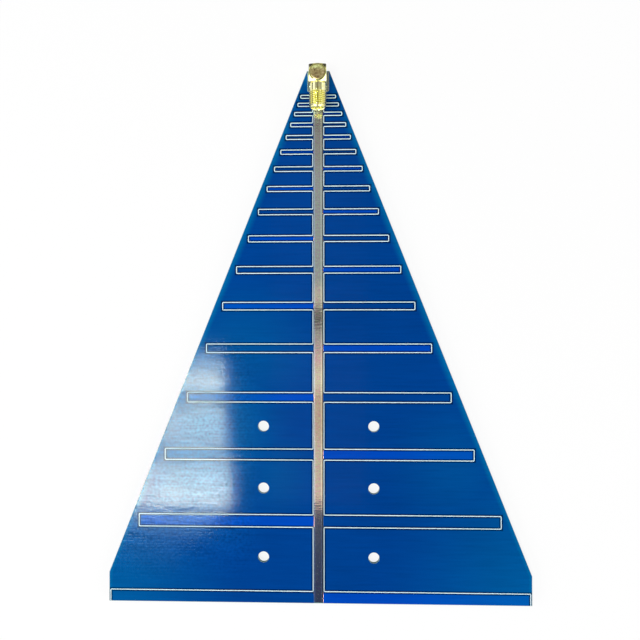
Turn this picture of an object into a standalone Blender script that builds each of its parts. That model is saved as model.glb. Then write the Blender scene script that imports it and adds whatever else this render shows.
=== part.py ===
"""Printed log periodic antenna with a right-angle coaxial jack at its feed end.

Metres, +Z up. The board lies on its back with the narrow feed end at +Y, its centre line on
x = 0 and the tips of the soldered leads on z = 0.
"""

import math

import bmesh
import bpy
from mathutils import Matrix

# Board outline
BOARD_LENGTH = 0.2
BOARD_WIDTH = 0.159
APEX_WIDTH = 0.0084
SHOULDER_HEIGHT = 0.011
CORE_THICKNESS = 0.00153
MOUNTING_HOLE_DIAMETER = 0.0041
MOUNTING_HOLE_SPACING = 0.0415
MOUNTING_HOLE_ROWS = (0.08625, 0.216, 0.3325)  # shares of the length, from the wide edge

# Layers on both faces of the core
COPPER_THICKNESS = 0.000035
MASK_THICKNESS = 0.000025
MASK_OVER_COPPER = 0.00002
SOLDER_COAT_THICKNESS = 0.00003
PRINT_THICKNESS = 0.00002
COPPER_PULLBACK = 0.00025  # bare core between the copper and a board edge
MASK_PULLBACK = 0.0001
MASK_OPENING_MARGIN = 0.00006  # the mask stays this far from bare metal and holes
MASK_RELIEF_MARGIN = 0.00004  # the mask's step stands this far outside the copper below it

# Radiating arms: each is a fixed share of the next longer one
ARM_COUNT = 17
SPACING_RATIO = 0.8592
REACH_RATIO = 0.8526
WIDTH_RATIO = 0.857
SHORTEST_ARM_FROM_APEX = 0.00965
LONGEST_ARM_FROM_WIDE_EDGE = 0.00175
LONGEST_ARM_SIDE_MARGIN = 0.0001  # to the board's side, before the arm is cut short
LONGEST_ARM_WIDTH = 0.00464
ARM_SIDE_MARGIN = 0.0009
BOOM_WIDTH = 0.0034

# Feed end of the two booms
FEED_PAD_LENGTH = 0.0079
FEED_PAD_INSET = 0.00015
FEED_PAD_CORNER = 0.0009
REAR_FEED_WIDTH = 0.0022
REAR_FEED_TAPER = 0.0012
LEAD_PAD_DIAMETER = 0.0015

# White print round every arm
PRINT_WIDTH = 0.0003
PRINT_OFFSET = 0.00036
PRINT_CORNER = 0.0003
PRINT_FROM_PAD = 0.0004

# Jack: a square block with a threaded barrel at right angles to its leads
BLOCK_SIDE = 0.0064
BLOCK_HEIGHT = 0.008
BLOCK_EDGE_RADIUS = 0.00025
BLOCK_TOP_DIAMETER = 0.0062
BLOCK_TOP_SLOPE = math.radians(32)
BLOCK_INSET = 0.00005  # from the board's narrow end
LEAD_SPACING = 0.0046
LEAD_DIAMETER = 0.0009
LEAD_REACH = 0.0013  # below the core
LEAD_ROOT = 0.0015  # inside the block
LEAD_HOLE_CLEARANCE = 0.0001
BARREL_AXIS_BELOW_TOP = 0.0034
BARREL_LENGTH = 0.009
NECK_LENGTH = 0.0031
NECK_DIAMETER = 0.0058
THREAD_DIAMETER = 0.00635
THREAD_LEAD_LENGTH = 0.0009
THREAD_LEAD_DIAMETER = 0.0052
MOUTH_BORE_DIAMETER = 0.0046
MOUTH_BORE_DEPTH = 0.002
MOUTH_CHAMFER = 0.0001
SPIGOT_DIAMETER = 0.005
SPIGOT_LENGTH = 0.0008
INSULATOR_DIAMETER = 0.0041
CONTACT_DIAMETER = 0.00127
SOCKET_DIAMETER = 0.00094
SOCKET_DEPTH = 0.003
CAP_DIAMETER = 0.0052
CAP_THICKNESS = 0.0008
CAP_EDGE = 0.00012
CHAMBER_DIAMETER = 0.004
PIN_DIAMETER = 0.0009
PIN_INSULATOR_DIAMETER = 0.003
PIN_CLEARANCE_DIAMETER = 0.0022  # hole in the front copper round the pin
SEAT_CLEARANCE = 0.00002

# Solder on the rear ends of the leads
SOLDER_HEIGHT = 0.0009
SOLDER_TIP_WALL = 0.0001
SOLDER_FOOT_MARGIN = 0.00005

# Heights and places worked out from the sizes above
CORE_BOTTOM = LEAD_REACH
CORE_TOP = CORE_BOTTOM + CORE_THICKNESS
WIDE_EDGE = -BOARD_LENGTH / 2
NARROW_EDGE = BOARD_LENGTH / 2
SHORTEST_ARM_SHARE = SPACING_RATIO ** (ARM_COUNT - 1)
ARM_ROW_LENGTH = BOARD_LENGTH - LONGEST_ARM_FROM_WIDE_EDGE
# The focus is the point at which arms of no length would lie
FOCUS_BEYOND_APEX = (ARM_ROW_LENGTH * SHORTEST_ARM_SHARE - SHORTEST_ARM_FROM_APEX) / (
    1 - SHORTEST_ARM_SHARE
)
LONGEST_ARM_FROM_FOCUS = ARM_ROW_LENGTH + FOCUS_BEYOND_APEX
LONGEST_ARM_REACH = BOARD_WIDTH / 2 - LONGEST_ARM_SIDE_MARGIN
FEED_PAD_WIDTH = APEX_WIDTH - 2 * FEED_PAD_INSET
JACK_Y = NARROW_EDGE - BLOCK_INSET - BLOCK_SIDE / 2
JACK_Z = CORE_TOP + COPPER_THICKNESS + SOLDER_COAT_THICKNESS
JACK_FRONT = -BLOCK_SIDE / 2
BARREL_AXIS_HEIGHT = BLOCK_HEIGHT - BARREL_AXIS_BELOW_TOP
CUT_THROUGH = 0.001  # cutters pass the faces that they open by this much
FINE_SEGMENTS = 48
ROUND_SEGMENTS = 24
SMALL_SEGMENTS = 16
CORNER_STEPS = 3
SMOOTH_ANGLE = math.radians(35)

FRONT = 1
REAR = -1
LEFT = -1
RIGHT = 1
BOTH_WAYS = (LEFT, RIGHT)

LAMINATE = ("laminate", (0.12, 0.3, 0.36), 0.5, 0.0)
MASK = ("solder_mask", (0.0, 0.065, 0.3), 0.25, 0.0)
COPPER = ("copper", (0.8, 0.36, 0.2), 0.35, 1.0)
SOLDER = ("solder", (0.55, 0.53, 0.5), 0.3, 1.0)
PRINT = ("print", (0.85, 0.88, 0.9), 0.6, 0.0)
GOLD = ("gold_plate", (0.85, 0.62, 0.22), 0.22, 1.0)
CAP_GOLD = ("cap_gold", (0.45, 0.4, 0.18), 0.4, 1.0)
INSULATOR = ("insulator", (0.9, 0.9, 0.86), 0.5, 0.0)


def clear_scene():
    for obj in list(bpy.data.objects):
        bpy.data.objects.remove(obj)


def material(spec):
    """The Principled material of this (name, colour, roughness, metallic), made once."""
    name, colour, roughness, metallic = spec
    found = bpy.data.materials.get(name)
    if found:
        return found
    made = bpy.data.materials.new(name)
    made.use_nodes = True
    shader = made.node_tree.nodes["Principled BSDF"]
    shader.inputs["Base Color"].default_value = (*colour, 1)
    shader.inputs["Roughness"].default_value = roughness
    shader.inputs["Metallic"].default_value = metallic
    return made


def add_object(name, bm, spec=None, parent=None):
    """Links the mesh as an object and frees bm. Without a material it is a hidden cutter."""
    bmesh.ops.recalc_face_normals(bm, faces=bm.faces)
    mesh = bpy.data.meshes.new(name)
    bm.to_mesh(mesh)
    bm.free()
    obj = bpy.data.objects.new(name, mesh)
    bpy.context.scene.collection.objects.link(obj)
    if spec is None:
        obj.hide_render = True
        obj.display_type = "WIRE"
    else:
        mesh.materials.append(material(spec))
    obj.parent = parent
    return obj


def add_empty(name, location, parent=None):
    empty = bpy.data.objects.new(name, None)
    empty.location = location
    empty.parent = parent
    bpy.context.scene.collection.objects.link(empty)
    return empty


def boolean(target, tool, operation):
    """Applies a Boolean of the hidden tool to the target and removes the tool."""
    modifier = target.modifiers.new(operation.lower(), "BOOLEAN")
    modifier.operation = operation
    modifier.object = tool
    modifier.solver = "EXACT"
    graph = bpy.context.evaluated_depsgraph_get()
    mesh = bpy.data.meshes.new_from_object(target.evaluated_get(graph), depsgraph=graph)
    target.modifiers.clear()
    target.data = mesh
    mesh.name = target.name
    bpy.data.objects.remove(tool)


def shade_round(obj):
    obj.data.shade_smooth()
    obj.data.set_sharp_from_angle(angle=SMOOTH_ANGLE)


def prism(name, outline, z_from, z_to, spec=None, parent=None):
    """A solid of the flat outline, a list of (x, y), between two heights."""
    bm = bmesh.new()
    base = bm.faces.new([bm.verts.new((x, y, z_from)) for x, y in outline])
    top = bmesh.ops.extrude_face_region(bm, geom=[base])["geom"]
    for element in top:
        if isinstance(element, bmesh.types.BMVert):
            element.co.z = z_to
    return add_object(name, bm, spec, parent)


def boxes(name, extents, z_from, z_to):
    """A cutter of separate boxes, one for each (x_low, x_high, y_low, y_high)."""
    bm = bmesh.new()
    for x_low, x_high, y_low, y_high in extents:
        size = (x_high - x_low, y_high - y_low, z_to - z_from)
        centre = ((x_low + x_high) / 2, (y_low + y_high) / 2, (z_from + z_to) / 2)
        place = Matrix.Translation(centre) @ Matrix.Diagonal((*size, 1))
        bmesh.ops.create_cube(bm, size=1, matrix=place)
    return add_object(name, bm)


def cylinders(name, places, diameter, z_from, z_to, segments=SMALL_SEGMENTS):
    """A cutter of upright cylinders at the (x, y) places."""
    bm = bmesh.new()
    for x, y in places:
        bmesh.ops.create_cone(
            bm,
            cap_ends=True,
            segments=segments,
            radius1=diameter / 2,
            radius2=diameter / 2,
            depth=z_to - z_from,
            matrix=Matrix.Translation((x, y, (z_from + z_to) / 2)),
        )
    return add_object(name, bm)


def turned(name, profile, spec=None, parent=None, segments=FINE_SEGMENTS, ring=True):
    """Turns a profile of (radius, z) about Z. A ring's profile closes on itself, off the axis."""
    bm = bmesh.new()
    points = [bm.verts.new((radius, 0, z)) for radius, z in profile]
    edges = [bm.edges.new(pair) for pair in zip(points, points[1:])]
    if ring:
        edges.append(bm.edges.new((points[-1], points[0])))
    bmesh.ops.spin(
        bm,
        geom=points + edges,
        cent=(0, 0, 0),
        axis=(0, 0, 1),
        angle=math.tau,
        steps=segments,
        use_merge=True,
    )
    bmesh.ops.remove_doubles(bm, verts=bm.verts, dist=1e-7)
    obj = add_object(name, bm, spec, parent)
    if spec is not None:
        shade_round(obj)
    return obj


def cylinder_profile(radius, z_low, z_high):
    """The open profile of a plain cylinder, from axis to axis."""
    return [(0, z_low), (radius, z_low), (radius, z_high), (0, z_high)]


def point_along_y(obj, y, z):
    """Lays a piece that was turned about Z with its +Z end towards the wide edge."""
    obj.location = (0, y, z)
    obj.rotation_euler = (math.pi / 2, 0, 0)


def arc(centre_x, centre_y, radius, from_angle, to_angle, steps):
    """Points on a circle, ends included, with the angles in degrees."""
    turn = math.radians(to_angle - from_angle) / steps
    angles = [math.radians(from_angle) + turn * i for i in range(steps + 1)]
    return [(centre_x + radius * math.cos(a), centre_y + radius * math.sin(a)) for a in angles]


def mirrored(points):
    """The same points across the centre line, in reverse order."""
    return [(-x, y) for x, y in reversed(points)]


def without_repeats(points):
    return [p for p, before in zip(points, [points[-1]] + points[:-1]) if p != before]


def height(face, above):
    """The z of a point this far above the core's front face, or below its rear face."""
    return CORE_TOP + above if face == FRONT else CORE_BOTTOM - above


def board_outline(pullback=0.0):
    """The board's outline, set back all round, anticlockwise from the wide edge's left end."""
    shoulder = WIDE_EDGE + SHOULDER_HEIGHT
    rise = NARROW_EDGE - shoulder
    taper = (BOARD_WIDTH - APEX_WIDTH) / 2 / rise
    side = BOARD_WIDTH / 2 - pullback
    slant_pullback = pullback * math.hypot(1, taper)

    def slant_x(y):
        return BOARD_WIDTH / 2 - slant_pullback - (y - shoulder) * taper

    corner_y = shoulder + (pullback - slant_pullback) / taper
    end_y = NARROW_EDGE - pullback
    right = [(side, WIDE_EDGE + pullback), (side, corner_y), (slant_x(end_y), end_y)]
    return right + mirrored(right)


def half_outline(outline, way):
    """The part of the board's outline on one side of the centre line."""
    low = min(y for _, y in outline)
    high = max(y for _, y in outline)
    side = [(x, y) for x, y in outline if x * way > 0]
    middle = [(0, low), (0, high)] if way == RIGHT else [(0, high), (0, low)]
    return middle[:1] + side + middle[1:]


class Arm:
    """One of the paired arms, counted from the feed end."""

    def __init__(self, number):
        steps_down = ARM_COUNT - number
        from_focus = LONGEST_ARM_FROM_FOCUS * SPACING_RATIO**steps_down
        centre = NARROW_EDGE + FOCUS_BEYOND_APEX - from_focus
        half_width = LONGEST_ARM_WIDTH * WIDTH_RATIO**steps_down / 2
        full_reach = LONGEST_ARM_REACH * REACH_RATIO**steps_down
        self.number = number
        self.reach = min(full_reach, BOARD_WIDTH / 2 - ARM_SIDE_MARGIN)
        self.low = max(centre - half_width, WIDE_EDGE + COPPER_PULLBACK)
        self.high = centre + half_width

    def is_on(self, face, way):
        """Odd arms point right on the front face, and the rear face is the other way round."""
        odd = self.number % 2 == 1
        return odd == (way * face == RIGHT)


ARMS = [Arm(number) for number in range(1, ARM_COUNT + 1)]


def feed_side(face, grow):
    """The right-hand side of a boom's feed end, from the boom up, without its last point."""
    boom = BOOM_WIDTH / 2 + grow
    pad_low = NARROW_EDGE - FEED_PAD_LENGTH - grow
    if face == FRONT:
        pad = FEED_PAD_WIDTH / 2 + grow
        radius = FEED_PAD_CORNER
        corner = arc(pad - radius, pad_low + radius, radius, -90, 0, CORNER_STEPS)
        return [(boom, pad_low)] + corner
    feed = REAR_FEED_WIDTH / 2 + grow
    taper_low = pad_low - REAR_FEED_TAPER
    return [(boom, taper_low), (feed, pad_low)] + arc(0, JACK_Y, feed, 0, 90, 2 * CORNER_STEPS)[:-1]


def boom_outline(face, grow, low, high):
    """The boom without its arms, from its low end to the feed end."""
    side = [(BOOM_WIDTH / 2 + grow, low)] + feed_side(face, grow)
    if face == FRONT:
        side.append((FEED_PAD_WIDTH / 2 + grow, high))
    else:
        side.append((0, JACK_Y + REAR_FEED_WIDTH / 2 + grow))
    return without_repeats(side + mirrored(side))


def copper_outline(face):
    """The boom with the arms that this face carries, as one comb-shaped outline."""
    boom = BOOM_WIDTH / 2
    low = WIDE_EDGE + COPPER_PULLBACK
    high = NARROW_EDGE - COPPER_PULLBACK
    sides = {}
    for way in BOTH_WAYS:
        side = [(boom, low)]
        for arm in reversed(ARMS):
            if arm.is_on(face, way):
                side += [(boom, arm.low), (arm.reach, arm.low), (arm.reach, arm.high), (boom, arm.high)]
        sides[way] = side
    head = boom_outline(face, 0, low, high)[1:-1]
    return without_repeats(sides[RIGHT] + head + mirrored(sides[LEFT]))


def filleted(path, radius, steps=1):
    """The path with each inner corner rounded."""
    rounded = [path[0]]
    for before, corner, after in zip(path, path[1:], path[2:]):
        near = [_towards(corner, before, radius), _towards(corner, after, radius)]
        centre_x = near[0][0] + near[1][0] - corner[0]
        centre_y = near[0][1] + near[1][1] - corner[1]
        start = math.atan2(near[0][1] - centre_y, near[0][0] - centre_x)
        end = math.atan2(near[1][1] - centre_y, near[1][0] - centre_x)
        turn = (end - start + math.pi) % math.tau - math.pi
        rounded += arc(centre_x, centre_y, radius, math.degrees(start), math.degrees(start + turn), steps)
    return rounded + [path[-1]]


def _towards(start, end, distance):
    length = math.dist(start, end)
    return tuple(a + (b - a) * distance / length for a, b in zip(start, end))


def ribbon(name, path, width, z_from, z_to, spec, parent):
    """A flat strip of even width along the path, one face for each of its segments."""
    bm = bmesh.new()
    rows = []
    for i, (x, y) in enumerate(path):
        before = path[max(i - 1, 0)]
        after = path[min(i + 1, len(path) - 1)]
        along_in = math.atan2(y - before[1], x - before[0]) if i else None
        along_out = math.atan2(after[1] - y, after[0] - x) if i < len(path) - 1 else along_in
        along_in = along_out if along_in is None else along_in
        half_turn = ((along_out - along_in + math.pi) % math.tau - math.pi) / 2
        across = along_in + half_turn + math.pi / 2
        reach = width / 2 / math.cos(half_turn)
        sides = [(x + s * reach * math.cos(across), y + s * reach * math.sin(across)) for s in (1, -1)]
        rows.append([bm.verts.new((*side, z)) for z in (z_from, z_to) for side in sides])
    order = (0, 1, 3, 2)
    for row, following in zip(rows, rows[1:]):
        for a, b in zip(order, order[1:] + order[:1]):
            bm.faces.new((row[a], row[b], following[b], following[a]))
    bm.faces.new([rows[0][i] for i in order])
    bm.faces.new([rows[-1][i] for i in reversed(order)])
    return add_object(name, bm, spec, parent)


def print_path(way):
    """The meander of the white line down one side of the boom and round each arm."""
    along_boom = BOOM_WIDTH / 2 + PRINT_OFFSET
    path = [(way * along_boom, NARROW_EDGE - FEED_PAD_LENGTH - PRINT_FROM_PAD)]
    for arm in ARMS:
        out = way * (arm.reach + PRINT_OFFSET)
        path += [(way * along_boom, arm.high + PRINT_OFFSET), (out, arm.high + PRINT_OFFSET)]
        if arm is ARMS[-1]:
            path.append((out, WIDE_EDGE + MASK_PULLBACK))
        else:
            path += [(out, arm.low - PRINT_OFFSET), (way * along_boom, arm.low - PRINT_OFFSET)]
    return filleted(path, PRINT_CORNER)


def mounting_holes():
    half = MOUNTING_HOLE_SPACING / 2
    rows = [WIDE_EDGE + share * BOARD_LENGTH for share in MOUNTING_HOLE_ROWS]
    return [(way * half, row) for row in rows for way in BOTH_WAYS]


def lead_places():
    """Where the block's four leads pass the board."""
    half = LEAD_SPACING / 2
    return [(way * half, JACK_Y + end * half) for end in (-1, 1) for way in BOTH_WAYS]


def cut_holes(obj, places, diameter, segments=SMALL_SEGMENTS):
    low = CORE_BOTTOM - CUT_THROUGH
    high = CORE_TOP + CUT_THROUGH
    boolean(obj, cylinders("holes", places, diameter, low, high, segments), "DIFFERENCE")


def lead_hole(diameter):
    return diameter + 2 * LEAD_HOLE_CLEARANCE


def make_laminate(board):
    laminate = prism("laminate", board_outline(), CORE_BOTTOM, CORE_TOP, LAMINATE, board)
    cut_holes(laminate, mounting_holes(), MOUNTING_HOLE_DIAMETER, ROUND_SEGMENTS)
    cut_holes(laminate, lead_places(), lead_hole(LEAD_DIAMETER))
    cut_holes(laminate, [(0, JACK_Y)], lead_hole(PIN_DIAMETER))
    shade_round(laminate)


def open_feed(obj, face):
    """Cuts a metal layer for the leads and the pin, which only the rear copper touches."""
    if face == FRONT:
        cut_holes(obj, lead_places(), lead_hole(LEAD_DIAMETER))
        cut_holes(obj, [(0, JACK_Y)], PIN_CLEARANCE_DIAMETER)
    else:
        cut_holes(obj, [(0, JACK_Y)], lead_hole(PIN_DIAMETER))


def make_metal(board, face, name):
    """The copper comb of one face, and the solder coat on its bare boom."""
    surface = height(face, 0)
    copper_face = height(face, COPPER_THICKNESS)
    copper = prism(f"{name}_copper", copper_outline(face), surface, copper_face, COPPER, board)
    open_feed(copper, face)
    low = WIDE_EDGE + COPPER_PULLBACK
    outline = boom_outline(face, 0, low, NARROW_EDGE - COPPER_PULLBACK)
    coat_face = height(face, COPPER_THICKNESS + SOLDER_COAT_THICKNESS)
    coat = prism(f"{name}_solder_coat", outline, copper_face, coat_face, SOLDER, board)
    open_feed(coat, face)


def arm_extents(face, way, grow):
    """Boxes of this face's arms on one side, from the centre line out."""
    extents = []
    for arm in ARMS:
        if arm.is_on(face, way):
            inner, outer = sorted((0, way * (arm.reach + grow)))
            extents.append((inner, outer, arm.low - grow, arm.high + grow))
    return extents


def make_mask(board, face, name, outline, ways):
    """A solder mask that steps up over the arms, rests on them and leaves the boom bare."""
    mask = prism(name, outline, height(face, 0), height(face, MASK_THICKNESS), MASK, board)
    step = [height(face, MASK_THICKNESS / 2), height(face, COPPER_THICKNESS + MASK_OVER_COPPER)]
    extents = [e for way in ways for e in arm_extents(face, way, MASK_RELIEF_MARGIN)]
    boolean(mask, boxes("relief", extents, min(step), max(step)), "UNION")
    inside = height(face, -CUT_THROUGH / 2)
    recess = prism("recess", copper_outline(face), inside, height(face, COPPER_THICKNESS))
    boolean(mask, recess, "DIFFERENCE")
    low = WIDE_EDGE - CUT_THROUGH
    window = boom_outline(face, MASK_OPENING_MARGIN, low, NARROW_EDGE + CUT_THROUGH)
    opening = prism("opening", window, inside, height(face, CUT_THROUGH))
    boolean(mask, opening, "DIFFERENCE")
    holes = [(x, y) for x, y in mounting_holes() if (x > 0) == (ways[-1] == RIGHT) or len(ways) == 2]
    cut_holes(mask, holes, MOUNTING_HOLE_DIAMETER + 2 * MASK_OPENING_MARGIN, ROUND_SEGMENTS)
    if face == REAR:
        cut_holes(mask, lead_places(), LEAD_PAD_DIAMETER + 2 * MASK_OPENING_MARGIN)


def make_prints(board):
    for face, face_name in ((FRONT, "front"), (REAR, "rear")):
        z_from = height(face, MASK_THICKNESS)
        z_to = height(face, MASK_THICKNESS + PRINT_THICKNESS)
        for way, side_name in ((LEFT, "left"), (RIGHT, "right")):
            name = f"{face_name}_print_{side_name}"
            ribbon(name, print_path(way), PRINT_WIDTH, z_from, z_to, PRINT, board)


def make_board(board):
    make_laminate(board)
    make_metal(board, FRONT, "front")
    make_metal(board, REAR, "rear")
    outline = board_outline(MASK_PULLBACK)
    make_mask(board, FRONT, "front_mask_left", half_outline(outline, LEFT), (LEFT,))
    make_mask(board, FRONT, "front_mask_right", half_outline(outline, RIGHT), (RIGHT,))
    make_mask(board, REAR, "rear_mask", outline, BOTH_WAYS)
    make_prints(board)


def make_block(jack):
    """The square block with a turned, sloping top, its leads, and the bores of its inner pieces."""
    bm = bmesh.new()
    tall = BLOCK_HEIGHT + CUT_THROUGH
    place = Matrix.Translation((0, 0, tall / 2)) @ Matrix.Diagonal((BLOCK_SIDE, BLOCK_SIDE, tall, 1))
    bmesh.ops.create_cube(bm, size=1, matrix=place)
    upright = [e for e in bm.edges if abs(e.verts[0].co.z - e.verts[1].co.z) > tall / 2]
    bmesh.ops.bevel(
        bm,
        geom=upright,
        offset=BLOCK_EDGE_RADIUS,
        segments=CORNER_STEPS,
        affect="EDGES",
        profile=0.5,
    )
    block = add_object("connector_block", bm, GOLD, jack)
    top_radius = BLOCK_TOP_DIAMETER / 2
    drop = BLOCK_SIDE * math.tan(BLOCK_TOP_SLOPE)
    cone = [
        (0, -CUT_THROUGH),
        (top_radius + BLOCK_SIDE, -CUT_THROUGH),
        (top_radius + BLOCK_SIDE, BLOCK_HEIGHT - drop),
        (top_radius, BLOCK_HEIGHT),
        (0, BLOCK_HEIGHT),
    ]
    boolean(block, _in_jack(turned("turning", cone, ring=False), jack), "INTERSECT")
    low = -JACK_Z
    legs = [(x, y - JACK_Y) for x, y in lead_places()]
    leads = cylinders("leads", legs, LEAD_DIAMETER, low, LEAD_ROOT)
    boolean(block, _in_jack(leads, jack), "UNION")
    for name, diameter, z_low, z_high in (
        ("cap_seat", CAP_DIAMETER + 2 * SEAT_CLEARANCE, BLOCK_HEIGHT - CAP_THICKNESS, tall),
        ("chamber", CHAMBER_DIAMETER, BARREL_AXIS_HEIGHT, tall),
        ("pin_bore", PIN_INSULATOR_DIAMETER + 2 * SEAT_CLEARANCE, -CUT_THROUGH, BARREL_AXIS_HEIGHT),
    ):
        bore = turned(name, cylinder_profile(diameter / 2, z_low, z_high), segments=ROUND_SEGMENTS, ring=False)
        boolean(block, _in_jack(bore, jack), "DIFFERENCE")
    for name, diameter, depth in (
        ("spigot_seat", SPIGOT_DIAMETER + 2 * SEAT_CLEARANCE, SPIGOT_LENGTH + SEAT_CLEARANCE),
        ("barrel_bore", INSULATOR_DIAMETER, BLOCK_SIDE / 2),
    ):
        profile = cylinder_profile(diameter / 2, -depth, CUT_THROUGH)
        bore = _in_jack(turned(name, profile, ring=False), jack)
        point_along_y(bore, JACK_FRONT, BARREL_AXIS_HEIGHT)
        boolean(block, bore, "DIFFERENCE")
    shade_round(block)


def _in_jack(obj, jack):
    obj.parent = jack
    return obj


def make_barrel(jack):
    """The turned barrel: spigot, neck, thread with its lead-in, and the bore behind the mouth."""
    bore = INSULATOR_DIAMETER / 2 + SEAT_CLEARANCE
    mouth = MOUTH_BORE_DIAMETER / 2
    thread = THREAD_DIAMETER / 2
    neck = NECK_DIAMETER / 2
    spigot = SPIGOT_DIAMETER / 2
    end = BARREL_LENGTH
    profile = [
        (bore, -SPIGOT_LENGTH),
        (spigot, -SPIGOT_LENGTH),
        (spigot, 0),
        (neck, 0),
        (neck, NECK_LENGTH - (thread - neck)),
        (thread, NECK_LENGTH),
        (thread, end - THREAD_LEAD_LENGTH),
        (THREAD_LEAD_DIAMETER / 2, end),
        (mouth + MOUTH_CHAMFER, end),
        (mouth, end - MOUTH_CHAMFER),
        (mouth, end - MOUTH_BORE_DEPTH),
        (bore, end - MOUTH_BORE_DEPTH),
    ]
    point_along_y(turned("threaded_barrel", profile, GOLD, jack), JACK_FRONT, BARREL_AXIS_HEIGHT)


def make_cap(jack):
    radius = CAP_DIAMETER / 2
    low = BLOCK_HEIGHT - CAP_THICKNESS
    profile = [
        (0, low),
        (radius, low),
        (radius, BLOCK_HEIGHT - CAP_EDGE),
        (radius - CAP_EDGE, BLOCK_HEIGHT),
        (0, BLOCK_HEIGHT),
    ]
    turned("access_cap", profile, CAP_GOLD, jack, ROUND_SEGMENTS, ring=False)


def make_insulators(jack):
    front = BARREL_LENGTH - MOUTH_BORE_DEPTH
    back = CHAMBER_DIAMETER / 2 - BLOCK_SIDE / 2 + SEAT_CLEARANCE
    inner = CONTACT_DIAMETER / 2 + SEAT_CLEARANCE
    outer = INSULATOR_DIAMETER / 2
    shrunk = outer - SEAT_CLEARANCE
    ring = [(inner, back), (shrunk, back), (shrunk, 0), (outer, 0), (outer, front), (inner, front)]
    body = turned("barrel_insulator", ring, INSULATOR, jack)
    point_along_y(body, JACK_FRONT, BARREL_AXIS_HEIGHT)
    top = BARREL_AXIS_HEIGHT - CONTACT_DIAMETER / 2 - SEAT_CLEARANCE
    inner = PIN_DIAMETER / 2 + SEAT_CLEARANCE
    outer = PIN_INSULATOR_DIAMETER / 2
    ring = [(inner, 0), (outer, 0), (outer, top), (inner, top)]
    turned("pin_insulator", ring, INSULATOR, jack, ROUND_SEGMENTS)


def make_contacts(jack):
    """The socket contact along the barrel and the pin that carries it through the board."""
    radius = CONTACT_DIAMETER / 2
    socket = SOCKET_DIAMETER / 2
    front = BARREL_LENGTH - MOUTH_BORE_DEPTH
    back = -BLOCK_SIDE / 2 - radius
    profile = [
        (0, back),
        (radius, back),
        (radius, front),
        (socket, front),
        (socket, front - SOCKET_DEPTH),
        (0, front - SOCKET_DEPTH),
    ]
    contact = turned("centre_contact", profile, GOLD, jack, SMALL_SEGMENTS, ring=False)
    point_along_y(contact, JACK_FRONT, BARREL_AXIS_HEIGHT)
    top = BARREL_AXIS_HEIGHT - radius - SEAT_CLEARANCE
    pin = cylinder_profile(PIN_DIAMETER / 2, -JACK_Z, top)
    turned("centre_pin", pin, GOLD, jack, SMALL_SEGMENTS, ring=False)


def make_solder_joint(name, place, lead, foot, seat, board):
    """A hollow-sided cone of solder between a pad and the lead through it."""
    inner = lead / 2 + SEAT_CLEARANCE
    tip = inner + SOLDER_TIP_WALL
    spread = foot / 2 - SOLDER_FOOT_MARGIN
    flank = []
    for step in range(CORNER_STEPS + 1):
        share = step / CORNER_STEPS
        flank.append((tip + (spread - tip) * (1 - share) ** 2, -SOLDER_HEIGHT * share))
    joint = turned(name, [(inner, 0)] + flank + [(inner, -SOLDER_HEIGHT)], SOLDER, board, SMALL_SEGMENTS)
    joint.location = (*place, seat)


def make_joints(board):
    pad_face = height(REAR, COPPER_THICKNESS)
    inner = lead_hole(LEAD_DIAMETER) / 2
    outer = LEAD_PAD_DIAMETER / 2
    ring = [(inner, 0), (outer, 0), (outer, -COPPER_THICKNESS), (inner, -COPPER_THICKNESS)]
    for number, place in enumerate(lead_places(), 1):
        pad = turned(f"lead_pad_{number}", ring, COPPER, board, SMALL_SEGMENTS)
        pad.location = (*place, CORE_BOTTOM)
        make_solder_joint(f"lead_solder_{number}", place, LEAD_DIAMETER, LEAD_PAD_DIAMETER, pad_face, board)
    coat_face = height(REAR, COPPER_THICKNESS + SOLDER_COAT_THICKNESS)
    make_solder_joint("pin_solder", (0, JACK_Y), PIN_DIAMETER, REAR_FEED_WIDTH, coat_face, board)


def make_jack(board):
    jack = add_empty("jack", (0, JACK_Y, JACK_Z), board)
    make_block(jack)
    make_barrel(jack)
    make_cap(jack)
    make_insulators(jack)
    make_contacts(jack)


def main():
    clear_scene()
    board = add_empty("board", (0, 0, 0))
    make_board(board)
    make_jack(board)
    make_joints(board)


main()
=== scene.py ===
"""The looks of a printed log periodic antenna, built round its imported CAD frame.

Metres, +Z up. The board lies on its back, its narrow feed end at +Y and its centre line on x = 0.
"""

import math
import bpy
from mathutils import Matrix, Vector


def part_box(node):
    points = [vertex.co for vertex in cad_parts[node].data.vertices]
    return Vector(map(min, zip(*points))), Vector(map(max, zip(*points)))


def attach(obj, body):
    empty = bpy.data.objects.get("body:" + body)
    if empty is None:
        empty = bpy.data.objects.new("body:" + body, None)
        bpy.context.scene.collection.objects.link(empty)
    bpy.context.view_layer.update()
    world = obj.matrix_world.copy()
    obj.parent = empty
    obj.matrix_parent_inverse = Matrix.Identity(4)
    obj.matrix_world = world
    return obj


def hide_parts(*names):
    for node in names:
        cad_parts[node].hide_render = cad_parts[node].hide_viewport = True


bl_info = {
    "name": "Log periodic antenna",
    "version": (1, 0, 0),
    "blender": (4, 5, 0),
    "location": "3D View > Sidebar > Antenna",
    "description": "Dresses the frame of a printed log periodic antenna and sets its stage",
    "category": "Object",
}

import bmesh
import bpy
from bpy.props import FloatProperty, FloatVectorProperty, PointerProperty
from mathutils import Matrix, Vector, noise

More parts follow.
